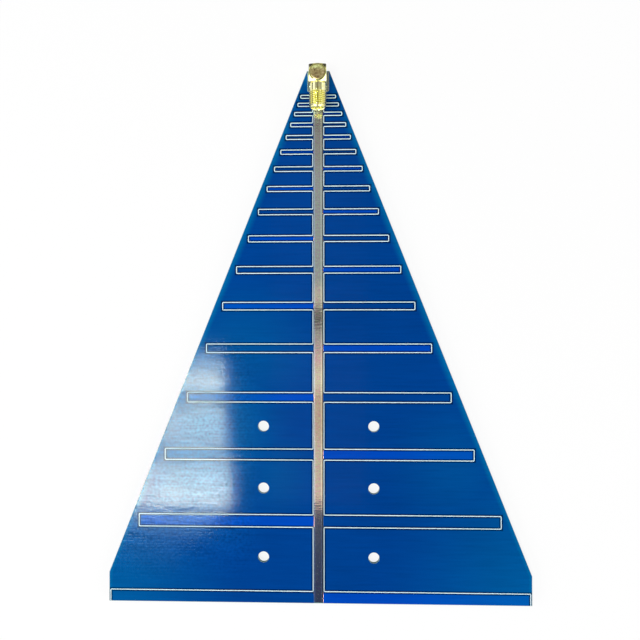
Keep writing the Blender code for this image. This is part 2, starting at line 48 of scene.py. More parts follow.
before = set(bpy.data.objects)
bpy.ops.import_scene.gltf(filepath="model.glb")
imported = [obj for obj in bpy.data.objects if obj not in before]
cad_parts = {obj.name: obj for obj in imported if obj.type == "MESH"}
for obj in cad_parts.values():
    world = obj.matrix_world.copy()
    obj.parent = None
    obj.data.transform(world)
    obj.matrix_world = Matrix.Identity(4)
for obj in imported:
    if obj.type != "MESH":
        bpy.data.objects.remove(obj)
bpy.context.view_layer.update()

CORE_LOW, CORE_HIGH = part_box("laminate")
COAT_LOW, COAT_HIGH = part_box("front_solder_coat")
REAR_COAT_LOW, REAR_COAT_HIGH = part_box("rear_solder_coat")
BARREL_LOW, BARREL_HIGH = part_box("threaded_barrel")
BLOCK_LOW, BLOCK_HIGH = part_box("connector_block")
CAP_LOW, CAP_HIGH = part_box("access_cap")

# Board outline
HALF_WIDTH = CORE_HIGH.x
NARROW_EDGE = CORE_HIGH.y
WIDE_EDGE = CORE_LOW.y
SHOULDER_Y = WIDE_EDGE + 0.011
APEX_HALF_WIDTH = 0.0042
SIDE_TAPER = (HALF_WIDTH - APEX_HALF_WIDTH) / (NARROW_EDGE - SHOULDER_Y)

# Radiating arms: each is a fixed share of the next longer one
ARM_COUNT = 17
SPACING_RATIO = 0.8592
REACH_RATIO = 0.8526
WIDTH_RATIO = 0.857
SHORTEST_ARM_FROM_APEX = 0.00965
LONGEST_ARM_FROM_WIDE_EDGE = 0.00175
LONGEST_ARM_REACH = HALF_WIDTH - 0.0001
LONGEST_ARM_WIDTH = 0.00464
REACH_LIMIT = HALF_WIDTH - 0.0009
BOOM_HALF_WIDTH = 0.0017
SHORTEST_SHARE = SPACING_RATIO ** (ARM_COUNT - 1)
ARM_ROW_LENGTH = NARROW_EDGE - WIDE_EDGE - LONGEST_ARM_FROM_WIDE_EDGE
FOCUS_BEYOND_APEX = (ARM_ROW_LENGTH * SHORTEST_SHARE - SHORTEST_ARM_FROM_APEX) / (1 - SHORTEST_SHARE)
FOCUS_Y = NARROW_EDGE + FOCUS_BEYOND_APEX
LONGEST_FROM_FOCUS = ARM_ROW_LENGTH + FOCUS_BEYOND_APEX

# Layers
CLOTH_LAYER = 0.00019
COPPER = 0.000035
MASK = 0.000025
MASK_PULLBACK = 0.0001
COAT = COAT_HIGH.z - COAT_LOW.z

# Feed end
PAD_LOW = NARROW_EDGE - 0.0079
PAD_HALF_WIDTH = COAT_HIGH.x
PAD_CORNER = 0.0009
REAR_FEED_HALF_WIDTH = 0.0011
REAR_FEED_TAPER = 0.0012
LEAD_DIAMETER = 0.0009
LEAD_SPACING = 0.0046
LEAD_PAD_DIAMETER = 0.0015
SOLDER_HEIGHT = 0.0009
STRIP_STEP = 0.0004

# White print
PRINT_WIDTH = 0.0003
PRINT_OFFSET = 0.00036
PRINT_CORNER = 0.0003
PRINT_FROM_PAD = 0.0004
PRINT_THICKNESS = 0.00002
PRINT_PROFILE = ((-1, 0), (-1, 0.55), (-0.75, 0.95), (0, 1), (0.75, 0.95), (1, 0.55), (1, 0))

# Jack
JACK_Y = (BLOCK_LOW.y + BLOCK_HIGH.y) / 2
JACK_Z = COAT_HIGH.z
BLOCK_HALF = BLOCK_HIGH.x
BLOCK_HEIGHT = BLOCK_HIGH.z - JACK_Z
BLOCK_EDGE_RADIUS = 0.00025
BLOCK_TOP_RADIUS = 0.0031
BLOCK_TOP_SLOPE = math.radians(32)
CAP_RADIUS = CAP_HIGH.x
CAP_THICKNESS = 0.0008
BARREL_FRONT = BLOCK_LOW.y
BARREL_Z = (BARREL_LOW.z + BARREL_HIGH.z) / 2
BARREL_LENGTH = BARREL_FRONT - BARREL_LOW.y
THREAD_RADIUS = BARREL_HIGH.x
NECK_RADIUS = 0.0029
NECK_LENGTH = 0.0031
THREAD_LEAD_LENGTH = 0.0009
THREAD_LEAD_RADIUS = 0.0026
MOUTH_RADIUS = 0.0023
MOUTH_DEPTH = 0.002
SPIGOT_RADIUS = 0.0025
SPIGOT_LENGTH = 0.0008
BARREL_BORE_RADIUS = 0.00207
THREAD_ROOT_SHARE = 0.14
THREAD_FLANKS_SHARE = 0.7
STEPS_A_THREAD = 20

# How many segments the turned pieces have
JOINT_SEGMENTS = 32
LEAD_SEGMENTS = 24
CAP_SEGMENTS = 64
CAP_RINGS = 12
BARREL_SEGMENTS = 96
BLOCK_SEGMENTS = 96

# Camera: its place, its small tilts in degrees, and its lens
CAMERA_PLACE = (0.008794, 0.006873, 0.25138)
CAMERA_TILTS = (0.0864, -1.8866, 0.0542)
SENSOR_WIDTH = 36.0

FRONT = 1
REAR = -1
LEFT = -1
RIGHT = 1


# Node materials


def maths_method(operation, reflected=False):
    """A method of a field that adds the maths node of this operation."""

    def method(field, *others):
        parts = [field, *others]
        if reflected:
            parts.reverse()
        vector = any(isinstance(part, Field) and part.socket.type == "VECTOR" for part in parts)
        kind = "VectorMath" if vector else "Math"
        return field.nodes.node(kind, {"operation": operation}, dict(enumerate(parts)))

    return method


class Field:
    """A value or vector in a node tree. Python's operators on it add the maths nodes."""

    def __init__(self, nodes, socket):
        self.nodes = nodes
        self.socket = socket

    __add__ = maths_method("ADD")
    __radd__ = maths_method("ADD", reflected=True)
    __sub__ = maths_method("SUBTRACT")
    __rsub__ = maths_method("SUBTRACT", reflected=True)
    __mul__ = maths_method("MULTIPLY")
    __rmul__ = maths_method("MULTIPLY", reflected=True)
    __truediv__ = maths_method("DIVIDE")
    __rtruediv__ = maths_method("DIVIDE", reflected=True)
    __pow__ = maths_method("POWER")
    __rpow__ = maths_method("POWER", reflected=True)
    __mod__ = maths_method("MODULO")
    __gt__ = maths_method("GREATER_THAN")
    __lt__ = maths_method("LESS_THAN")
    __abs__ = maths_method("ABSOLUTE")
    __round__ = maths_method("ROUND")
    log = maths_method("LOGARITHM")
    sine = maths_method("SINE")
    least = maths_method("MINIMUM")
    most = maths_method("MAXIMUM")

    def smooth(self, low, high):
        """0 up to low, 1 from high on, with a smooth rise between them. High may lie below low."""
        settings = {"interpolation_type": "SMOOTHSTEP"}
        if low <= high:
            return self.nodes.node("MapRange", settings, {0: self, 1: low, 2: high})
        return 1 - self.smooth(high, low)


class Nodes:
    """A node tree that is built up node by node."""

    def __init__(self, tree):
        self.tree = tree

    def node(self, kind, settings=None, inputs=None, output=0):
        """Adds a node with its settings first, then the values or links of its sockets."""
        made = self.tree.nodes.new(f"ShaderNode{kind}")
        for name, value in (settings or {}).items():
            if name == "stops":
                self._set_stops(made.color_ramp, value)
            else:
                setattr(made, name, value)
        for key, value in (inputs or {}).items():
            self.join(made.inputs[key], value)
        return Field(self, made.outputs[output])

    def _set_stops(self, ramp, stops):
        while len(ramp.elements) < len(stops):
            ramp.elements.new(0.5)
        for element, (position, colour) in zip(ramp.elements, stops):
            element.position = position
            element.color = (*colour, 1)

    def join(self, socket, value):
        """Links a field to the socket, or sets the socket to a number or colour."""
        if isinstance(value, Field):
            self.tree.links.new(value.socket, socket)
        elif socket.type == "RGBA":
            socket.default_value = (*value[:3], 1)
        else:
            socket.default_value = value

    def place(self):
        return self.node("TexCoord", output="Object")

    def axes(self, vector):
        split = self.node("SeparateXYZ", inputs={0: vector}).socket.node
        return [Field(self, output) for output in split.outputs]

    def ray(self, kind):
        """1 for rays of this kind, 0 for others."""
        return self.node("LightPath", output=f"Is {kind} Ray")

    def grain(self, vector, scale, detail=2.0, roughness=0.5, stretch=(1, 1, 1)):
        """Noise about 0.5. Its features are about 1 / scale wide, in metres."""
        inputs = {"Vector": vector * stretch, "Scale": scale, "Detail": detail, "Roughness": roughness}
        return self.node("TexNoise", inputs=inputs)

    def mix(self, share, first, second, blend="MIX"):
        settings = {"data_type": "RGBA", "blend_type": blend}
        return self.node("Mix", settings, {0: share, 6: first, 7: second}, output=2)

    def layered(self, colour, *layers):
        """The colour under layers, each a share and its own colour."""
        for share, over in layers:
            colour = self.mix(share, colour, over)
        return colour

    def tinted(self, colour, factor):
        """The colour made lighter or darker by a factor that varies."""
        grey = self.node("CombineXYZ", inputs=dict(enumerate([factor] * 3)))
        return self.mix(1.0, colour, grey, "MULTIPLY")


class Finish(Nodes):
    """A material. It is a Principled one, unless another shader is shown in its place."""

    def __init__(self, name, **constants):
        self.material = bpy.data.materials.new(name)
        self.material.use_nodes = True
        super().__init__(self.material.node_tree)
        self.shader = self.tree.nodes["Principled BSDF"]
        for socket, value in constants.items():
            self.shader.inputs[socket.replace("_", " ").title().replace("Ior", "IOR")].default_value = value

    def feed(self, **fields):
        """Joins fields to the shader, as Base_Color=colour."""
        for name, value in fields.items():
            self.join(self.shader.inputs[name.replace("_", " ")], value)

    def emboss(self, height):
        """Joins a bump of this height, in metres, to the shader's normal."""
        inputs = {"Strength": 1.0, "Distance": 1.0, "Height": height}
        self.feed(Normal=self.node("Bump", inputs=inputs))

    def show(self, surface):
        """Shows this shader in place of the Principled one."""
        self.tree.nodes.remove(self.shader)
        self.join(self.tree.nodes["Material Output"].inputs["Surface"], surface)


def laminate_finish(looks):
    """Glass cloth in epoxy, whose layers show at the sawn edges."""
    finish = Finish("laminate", specular_ior_level=0.2)
    place = finish.place()
    z = finish.axes(place)[2]
    layers = (z * (math.tau / CLOTH_LAYER) + finish.grain(place, 900) * 5).sine()
    fibres = finish.grain(place, 2600, stretch=(1, 1, 5))
    cloudy = finish.grain(place, 160)
    shade = 0.72 + layers * 0.12 + fibres * 0.42 + cloudy * 0.2
    finish.feed(Base_Color=finish.tinted(looks.laminate_colour, shade))
    finish.feed(Roughness=0.45 + fibres * 0.25)
    finish.emboss(fibres * 0.00003 + layers * 0.000004)
    return finish.material


def copper_finish(looks):
    """Foil, of which only slits at the lacquer's openings show."""
    finish = Finish("copper", metallic=1.0)
    place = finish.place()
    stain = finish.grain(place, 700, detail=4)
    finish.feed(Base_Color=finish.mix(stain, looks.copper_colour, looks.stained_copper_colour))
    finish.feed(Roughness=0.25 + stain * 0.3)
    finish.emboss(finish.grain(place, 5000) * 0.000004)
    return finish.material


def arm_after(steps):
    """(centre y, half width, reach) of the arm this many steps from the longest. Fields work too."""
    centre = FOCUS_Y - LONGEST_FROM_FOCUS * SPACING_RATIO**steps
    half_width = LONGEST_ARM_WIDTH / 2 * WIDTH_RATIO**steps
    return centre, half_width, LONGEST_ARM_REACH * REACH_RATIO**steps


class Comb:
    """Where a point lies against the comb of boom and arms, as fields of a finish."""

    def __init__(self, x, y, face):
        steps = round(((FOCUS_Y - y) / LONGEST_FROM_FOCUS).log(SPACING_RATIO))
        steps = steps.most(0.0).least(float(ARM_COUNT - 1))
        arm_y, half_width, reach = arm_after(steps)
        self.from_arm = (abs(y - arm_y) - half_width).most(abs(x) - reach.least(REACH_LIMIT))
        self.from_edge = self.from_arm.least(abs(x) - BOOM_HALF_WIDTH)
        self.on_arm = self.from_arm.smooth(0.00005, -0.00006)
        alternate = abs(steps % 2 - (x > 0))
        self.near = alternate if face == FRONT else 1 - alternate


# Painted light: broad patches where the lacquer is painted lighter: x, y, reach in x and in y, share
PAINTED_LIGHT_PATCHES = (
    (-0.082, -0.098, 0.058, 0.06, 0.52),
    (0.082, -0.098, 0.062, 0.08, 0.5),
    (-0.029, -0.004, 0.036, 0.032, 0.34),
    (-0.017, -0.052, 0.021, 0.022, 0.26),
    (-0.047, -0.034, 0.042, 0.06, 0.75),
    (0.052, -0.05, 0.032, 0.036, 0.24),
)


# Smooth rises over the lacquer, each from a first to a second place in metres
BESIDE_JACK = (0.075, 0.088)
SHADED_RIGHT_HALF = (-0.004, 0.008)
GLARE_ACROSS = (-0.018, -0.034)
GLARE_FROM_ABOVE = (0.004, -0.01)
GLARE_FROM_BELOW = (-0.098, -0.07)
PRINT_SHADOW_REACH = (0.00086, 0.0005)
FEED_EDGE_REACH = (0.0007, 0.0003)


def painted_glow(x, y, width):
    """Painted light: how much lighter the lacquer is painted, along the board's sides and in broad patches.
    """
    upright = HALF_WIDTH - abs(x)
    slant = (upright - (y - SHOULDER_Y) * SIDE_TAPER) * math.cos(math.atan(SIDE_TAPER))
    glow = upright.least(slant).smooth(width, -0.0004) * (1 - y.smooth(*BESIDE_JACK) * 0.65)
    for centre_x, centre_y, reach_x, reach_y, share in PAINTED_LIGHT_PATCHES:
        across = (x - centre_x) / reach_x
        along = (y - centre_y) / reach_y
        glow = glow.most(((across * across + along * along) ** 0.5).smooth(1.0, 0.0) * share)
    return glow


def painted_glare_part(x, y):
    """1 in the front's left half, where the window's glare lies and its crinkles are painted into the
    colour as a painted reflection.
    """
    return x.smooth(*GLARE_ACROSS) * y.smooth(*GLARE_FROM_ABOVE) * y.smooth(*GLARE_FROM_BELOW)


def lacquer_finish(name, looks, face):
    """Glossy blue lacquer: brighter over its own face's copper, with the glass cloth's weave."""
    finish = Finish(name, specular_ior_level=0.024, coat_roughness=0.06)
    place = finish.place()
    x, y, _ = finish.axes(place)
    comb = Comb(x, y, face)
    near_copper = comb.on_arm * comb.near
    colour = finish.layered(
        looks.lacquer_colour,
        (comb.on_arm * (1 - comb.near), looks.far_copper_colour),
        (near_copper, looks.near_copper_colour),
        # painted light: lighter along the board's sides and in broad patches
        (painted_glow(x, y, looks.glow_width), looks.glow_colour),
    )
    cloudy = finish.grain(place, 28, detail=3)
    streaks = finish.grain(place, 1250, stretch=(0.06, 1, 1))
    peel = finish.grain(place, 1000, detail=0.0)
    fine_rows = finish.grain(place, 1300, detail=1.0, stretch=(0.08, 1, 1))
    crinkles = fine_rows + peel - 1
    beside_print = abs(comb.from_edge - PRINT_OFFSET).smooth(*PRINT_SHADOW_REACH)
    feed_edge = (NARROW_EDGE - y).smooth(*FEED_EDGE_REACH)
    # Painted shade: the lacquer's right half is painted 7% darker, as if lit from the left
    shade = 0.75 + cloudy * 0.24 + streaks * 0.28 - x.smooth(*SHADED_RIGHT_HALF) * 0.07
    shade *= (1 - beside_print * looks.print_shadow) * (1 - feed_edge * looks.edge_shadow)
    # Painted reflection: the glare's crinkle pattern is painted into the colour on the front's left half
    if face == FRONT:
        shade *= 1 + crinkles * painted_glare_part(x, y) * looks.painted_glare_shade
    finish.feed(Base_Color=finish.tinted(colour, shade))
    finish.feed(Roughness=0.05 + finish.grain(place, 1600) * 0.02)
    finish.feed(Coat_Weight=looks.coat_weight + crinkles * looks.coat_unevenness)
    weft = (y * (math.tau / looks.weft_pitch) + finish.grain(place, 90) * 6).sine()
    warp = (x * (math.tau / looks.warp_pitch) + finish.grain(place, 90) * 5).sine()
    cloth = (weft + warp * 0.2) * (1 - near_copper * 0.55)
    shoulder = comb.from_arm.smooth(0.00022, -0.00004) * comb.near
    finish.emboss(cloth * looks.weave_height + peel * looks.peel_height + shoulder * COPPER * 0.6)
    return finish.material


def print_finish(looks):
    """White screen print, slightly thin where the mesh has left less ink."""
    finish = Finish("print", specular_ior_level=0.15)
    place = finish.place()
    thin = finish.grain(place, 2400, detail=3)
    patchy = finish.grain(place, 260)
    x = finish.axes(place)[0]
    along_boom = abs(x).smooth(0.0024, 0.0022)
    shade = 0.84 + thin * 0.2 + patchy * 0.12 - along_boom * 0.2
    finish.feed(Base_Color=finish.tinted(looks.print_colour, shade))
    finish.feed(Roughness=0.4 + thin * 0.3)
    finish.emboss(thin * 0.000006)
    return finish.material


# Smooth rises for the painted highlights and painted shade across the tinned strip, and in from the pad's
# left edge, in metres
LEFT_HIGHLIGHT = (-0.00115, -0.00135)
RIGHT_HIGHLIGHT = (0.00085, 0.001)
SHADED_RIGHT_EDGE = (0.00125, 0.0014)
PAD_HIGHLIGHT_REACH = (0.0005, 0.0002)


def solder_finish(looks):
    """Levelled solder, crossed by fine ripples and mottled by a thin oxide, with painted highlights and a
    painted shade at its edges.
    """
    finish = Finish("solder", metallic=1.0)
    place = finish.place()
    x, y, _ = finish.axes(place)
    ripples = finish.grain(place, 1500, detail=2, stretch=(0.25, 1, 0.25))
    spots = finish.grain(place, 2300, detail=4, roughness=0.65)
    on_strip = PAD_LOW > y
    on_pad = 1 - on_strip
    # Painted highlights: pale along the strip's left edge, in a band inside its right edge, and along the
    # pad's left edge
    left_highlight = x.smooth(*LEFT_HIGHLIGHT) * on_strip
    # Painted shade: the strip's right edge is painted darker
    shaded_right_edge = x.smooth(*SHADED_RIGHT_EDGE) * on_strip
    right_highlight = x.smooth(*RIGHT_HIGHLIGHT) * (1 - shaded_right_edge) * on_strip
    pad_edge_highlight = (x + PAD_HALF_WIDTH).smooth(*PAD_HIGHLIGHT_REACH) * on_pad
    colour = finish.layered(
        looks.solder_colour,
        (finish.grain(place, 210, detail=3), looks.oxide_colour),
        (finish.grain(place, 1300, detail=2).smooth(0.45, 0.65), looks.tarnish_colour),
        (finish.grain(place, 1700, detail=1).smooth(0.5, 0.7), looks.greenish_colour),
        (on_pad * looks.pad_share, looks.pad_colour),
        (pad_edge_highlight, looks.pad_edge_highlight_colour),
        (left_highlight, looks.left_highlight_colour),
        (right_highlight, looks.right_highlight_colour),
    )
    # the strip's right edge is painted half as bright, a painted shade
    shade = 0.72 + spots * 0.36 + ripples * 0.2 - shaded_right_edge * 0.5
    finish.feed(Base_Color=finish.tinted(colour, shade))
    dull = y.smooth(BARREL_LOW.y - 0.009, BARREL_LOW.y - 0.003)
    finish.feed(Roughness=0.05 + spots * 0.06 + dull * 0.1)
    finish.emboss(ripples * looks.ripple_height + spots * 0.000002 * (1 - dull * 0.8))
    return finish.material


def gold_finish(name, looks, turned_about_barrel=False):
    """Bright gold plate over machined brass, with the tool's fine lines."""
    finish = Finish(name, metallic=1.0)
    place = finish.place()
    x, y, z = finish.axes(place)
    stretch = (0.1, 1, 0.1) if turned_about_barrel else (1, 1, 0.15)
    lines = finish.grain(place, 9000, detail=2, stretch=stretch)
    worn = finish.grain(place, 900, detail=3)
    colour = finish.mix(worn.smooth(0.45, 0.75), looks.gold_colour, looks.worn_gold_colour)
    if turned_about_barrel:
        # Painted shade: the thread's roots are painted darker
        colour = finish.mix(shaded_thread_root(x, y, z), colour, looks.root_shade_colour)
    else:
        on_top = z.smooth(BLOCK_HIGH.z - 0.00012, BLOCK_HIGH.z - 0.00004)
        colour = finish.mix(on_top, colour, looks.cap_colour)
    finish.feed(Base_Color=finish.tinted(colour, 0.9 + lines * 0.18))
    finish.feed(Roughness=0.09 + worn * 0.16)
    finish.emboss(lines * looks.tool_mark_height + worn * 0.000003)
    return finish.material


def shaded_thread_root(x, y, z):
    """1 in the thread's roots, 0 on its crests: the roots are painted darker, a painted shade."""
    height = z - BARREL_Z
    radius = (x * x + height * height) ** 0.5
    cut = radius.smooth(THREAD_RADIUS - 0.00014, THREAD_RADIUS - 0.00034) * (radius > MOUTH_RADIUS + 0.0002)
    return cut * (BARREL_FRONT - NECK_LENGTH > y) * (y > BARREL_LOW.y + THREAD_LEAD_LENGTH)


def cap_finish(looks):
    """Pressed cap: dull gold, pitted and spotted, with its near half painted darker as a painted shade."""
    finish = Finish("cap_gold", metallic=1.0)
    place = finish.place()
    blotches = finish.grain(place, 1500, detail=3)
    pits = finish.node("TexVoronoi", {"feature": "SMOOTH_F1"}, {"Vector": place, "Scale": 2400.0})
    stops = [(0.36, looks.cap_purple_colour), (0.5, looks.cap_colour), (0.62, looks.cap_pale_colour)]
    ramp = finish.node("ValToRGB", {"stops": stops}, {0: blotches * 0.8 + pits * 0.25})
    # Painted shade: the cap's near half is painted darker and purple-brown
    lower = finish.axes(place)[1].smooth(JACK_Y + 0.0023, JACK_Y + 0.0004)
    finish.feed(Base_Color=finish.mix(lower, ramp, looks.cap_near_shade_colour, "MULTIPLY"))
    finish.feed(Roughness=0.2 + blotches * 0.2)
    finish.emboss(pits * 0.000035 + blotches * 0.00002)
    return finish.material


def insulator_finish(looks):
    """White fluoropolymer, turned, slightly waxy."""
    finish = Finish("insulator", subsurface_weight=0.25, subsurface_scale=0.0006)
    place = finish.place()
    rings = finish.grain(place, 5200, stretch=(1, 0.2, 1))
    soft = finish.grain(place, 500)
    finish.feed(Base_Color=finish.tinted(looks.insulator_colour, 0.9 + rings * 0.1 + soft * 0.08))
    finish.feed(Roughness=0.35 + rings * 0.2)
    finish.emboss(rings * 0.000008)
    return finish.material


# Mesh helpers


def joined(bm, rows, loop=False):
    """Quads between closed rows of vertices. A loop joins the last row to the first."""
    pairs = list(zip(rows, rows[1:]))
    if loop:
        pairs.append((rows[-1], rows[0]))
    for row, following in pairs:
        for i in range(len(row)):
            j = (i + 1) % len(row)
            bm.faces.new((row[i], row[j], following[j], following[i]))


def capped(bm, rows):
    """A tube through closed rows of vertices, with a face at each end."""
    joined(bm, rows)
    bm.faces.new(rows[0])
    bm.faces.new(list(reversed(rows[-1])))


def turned_rows(bm, stations, segments, point_at):
    """Rows of vertices round an axis, one for each station's (radius, along)."""
    rows = []
    for radius, along in stations:
        angles = [math.tau * turn / segments for turn in range(segments)]
        rows.append([bm.verts.new(point_at(radius, angle, along)) for angle in angles])
    return rows


def add_piece(name, bm, material, nodes, sharp=40):
    """Links the mesh as a piece on the frame's body in place of the CAD nodes."""
    bmesh.ops.recalc_face_normals(bm, faces=bm.faces)
    mesh = bpy.data.meshes.new(name)
    bm.to_mesh(mesh)
    bm.free()
    mesh.shade_smooth()
    mesh.set_sharp_from_angle(angle=math.radians(sharp))
    mesh.materials.append(material)
    piece = bpy.data.objects.new(name, mesh)
    bpy.context.scene.collection.objects.link(piece)
    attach(piece, "root")
    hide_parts(*nodes)


def dress(material, *names):
    """Gives CAD nodes a material."""
    for name in names:
        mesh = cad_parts[name].data
        mesh.materials.clear()
        mesh.materials.append(material)


def arm_law():
    """(centre y, half width, reach) of each arm, from the feed end."""
    arms = []
    for steps in reversed(range(ARM_COUNT)):
        centre, half_width, reach = arm_after(steps)
        arms.append((centre, half_width, min(reach, REACH_LIMIT)))
    return arms


def print_path(way):
    """The corners of the white line down one side of the boom and round each arm."""
    boom = way * (BOOM_HALF_WIDTH + PRINT_OFFSET)
    path = [(boom, PAD_LOW - PRINT_FROM_PAD)]
    arms = arm_law()
    for index, (centre, half_width, reach) in enumerate(arms):
        out = way * (reach + PRINT_OFFSET)
        top = centre + half_width + PRINT_OFFSET
        path += [(boom, top), (out, top)]
        if index == len(arms) - 1:
            path.append((out, WIDE_EDGE + MASK_PULLBACK))
        else:
            low = centre - half_width - PRINT_OFFSET
            path += [(out, low), (boom, low)]
    return [Vector(point) for point in path]


def rounded_path(path, radius, steps):
    """The path with an arc at each corner."""
    points = [path[0]]
    for before, corner, after in zip(path, path[1:], path[2:]):
        start = corner + (before - corner).normalized() * radius
        end = corner + (after - corner).normalized() * radius
        for step in range(steps + 1):
            share = step / steps
            inward = start.lerp(corner, share).lerp(corner.lerp(end, share), share)
            points.append(inward)
    return points + [path[-1]]


def print_line(name, way, face, material):
    """A crowned line of ink, a little uneven along its edges."""
    points = rounded_path(print_path(way), PRINT_CORNER * 1.25, 5)
    surface = CORE_HIGH.z + MASK if face == FRONT else CORE_LOW.z - MASK
    bm = bmesh.new()
    rows = []
    for index, point in enumerate(points):
        before = points[max(index - 1, 0)]
        after = points[min(index + 1, len(points) - 1)]
        along_in = (point - before).normalized() if index else (after - point).normalized()
        along_out = (after - point).normalized() if index < len(points) - 1 else along_in
        along = (along_in + along_out).normalized()
        across = Vector((-along.y, along.x))
        reach = PRINT_WIDTH / 2 / max(along.dot(along_out), 0.5)
        reach *= 1 + 0.05 * noise.noise(Vector((point.x, point.y, face)) * 900)
        row = []
        for sideways, up in PRINT_PROFILE:
            flat = point + across * reach * sideways
            row.append(bm.verts.new((*flat, surface + face * PRINT_THICKNESS * up)))
        rows.append(row)
    capped(bm, rows)
    add_piece(f"{name}_line", bm, material, [name], sharp=60)


# Solder


def crowned_strip(bm, half_width_at, y_from, y_to, face, base, crown):
    """A strip along the board whose surface swells from its edges to its middle."""
    shares = (-1, -0.97, -0.9, -0.78, -0.6, -0.35, 0, 0.35, 0.6, 0.78, 0.9, 0.97, 1)
    count = math.ceil((y_to - y_from) / STRIP_STEP)
    rows = []
    for index in range(count + 1):
        y = y_from + (y_to - y_from) * index / count
        half = half_width_at(y)
        end = min(1.0, (index + 0.3) / 2, (count - index + 0.3) / 2)
        row = [bm.verts.new((-half, y, base))]
        for share in shares:
            swell = (1 - share**6) * end
            drift = noise.noise(Vector((share * 1.3, y * 210, face * 7))) * 0.16
            ripple = noise.noise(Vector((share * 0.8, y * 900, face * 3))) * 0.07
            lift = crown * (0.3 + 0.7 * swell + (drift + ripple) * swell)
            row.append(bm.verts.new((half * share, y, base + face * lift)))
        row.append(bm.verts.new((half, y, base)))
        rows.append(row)
    capped(bm, rows)


def pad_outline(inset):
    """The feed pad's outline with rounded lower corners, set back by inset."""
    half = PAD_HALF_WIDTH - inset
    radius = PAD_CORNER - inset * 0.5
    low = PAD_LOW + inset
    high = COAT_HIGH.y - inset
    points = [(-half, high)]
    for centre_x, start in ((-half + radius, 180), (half - radius, 270)):
        for step in range(9):
            angle = math.radians(start + 90 * step / 8)
            points.append((centre_x + radius * math.cos(angle), low + radius + radius * math.sin(angle)))
    points.append((half, high))
    return points


def feed_pad(bm):
    """The solder on the feed pad, rounded down to its edge, and flat under the block."""
    rings = [(0, 0), (0, 0.35), (0.00008, 0.75), (0.00022, 0.95), (0.00045, 1)]
    rows = []
    for inset, lift in rings:
        z = COAT_LOW.z + COAT * lift
        rows.append([bm.verts.new((x, y, z)) for x, y in pad_outline(inset)])
    capped(bm, rows)


def front_half_width(y):
    return BOOM_HALF_WIDTH + 0.00003 * noise.noise(Vector((0, y * 700, 0)))


def rear_half_width(y):
    """The rear boom, its taper to the feed and the round end about the pin."""
    taper_low = PAD_LOW - REAR_FEED_TAPER
    share = min(max((y - taper_low) / REAR_FEED_TAPER, 0), 1)
    half = BOOM_HALF_WIDTH + (REAR_FEED_HALF_WIDTH - BOOM_HALF_WIDTH) * share
    past = max(y - JACK_Y, 0) / REAR_FEED_HALF_WIDTH
    return half * math.sqrt(max(1 - past**2, 0.0004))


def solder_joint(bm, place, seat, pad_radius, lead_radius):
    """A wetted cone about a lead's cut end."""
    flank = ((1.0, 0.0), (0.93, 0.12), (0.72, 0.34), (0.5, 0.6), (0.32, 0.82), (0.16, 0.97), (0.0, 1.0))
    inner = lead_radius + 0.00002
    spread = pad_radius - 0.00005 - inner

    def point_at(share, angle, rise):
        wave = 1 + 0.05 * noise.noise(Vector((math.cos(angle), math.sin(angle), place[0] * 999)))
        radius = inner + spread * share * wave
        x = place[0] + radius * math.cos(angle)
        y = place[1] + radius * math.sin(angle)
        return (x, y, seat - SOLDER_HEIGHT * rise)

    capped(bm, turned_rows(bm, flank, JOINT_SEGMENTS, point_at))


def lead_places():
    half = LEAD_SPACING / 2
    return [(way * half, JACK_Y + end * half) for end in (-1, 1) for way in (LEFT, RIGHT)]


# Jack


def about_barrel(radius, angle, along):
    """A point round the barrel's axis, this far in front of the block's face."""
    return (radius * math.cos(angle), BARREL_FRONT - along, BARREL_Z + radius * math.sin(angle))


def about_block(radius, angle, up):
    """A point round the block's upright axis, this far above the pad."""
    return (radius * math.cos(angle), JACK_Y + radius * math.sin(angle), JACK_Z + up)


def thread_depth_at(along, jack):
    """How deep the thread is cut here: it fades in after the neck."""
    start = min(max((along - NECK_LENGTH) / (jack.thread_pitch * 0.4), 0), 1)
    return jack.thread_depth * start


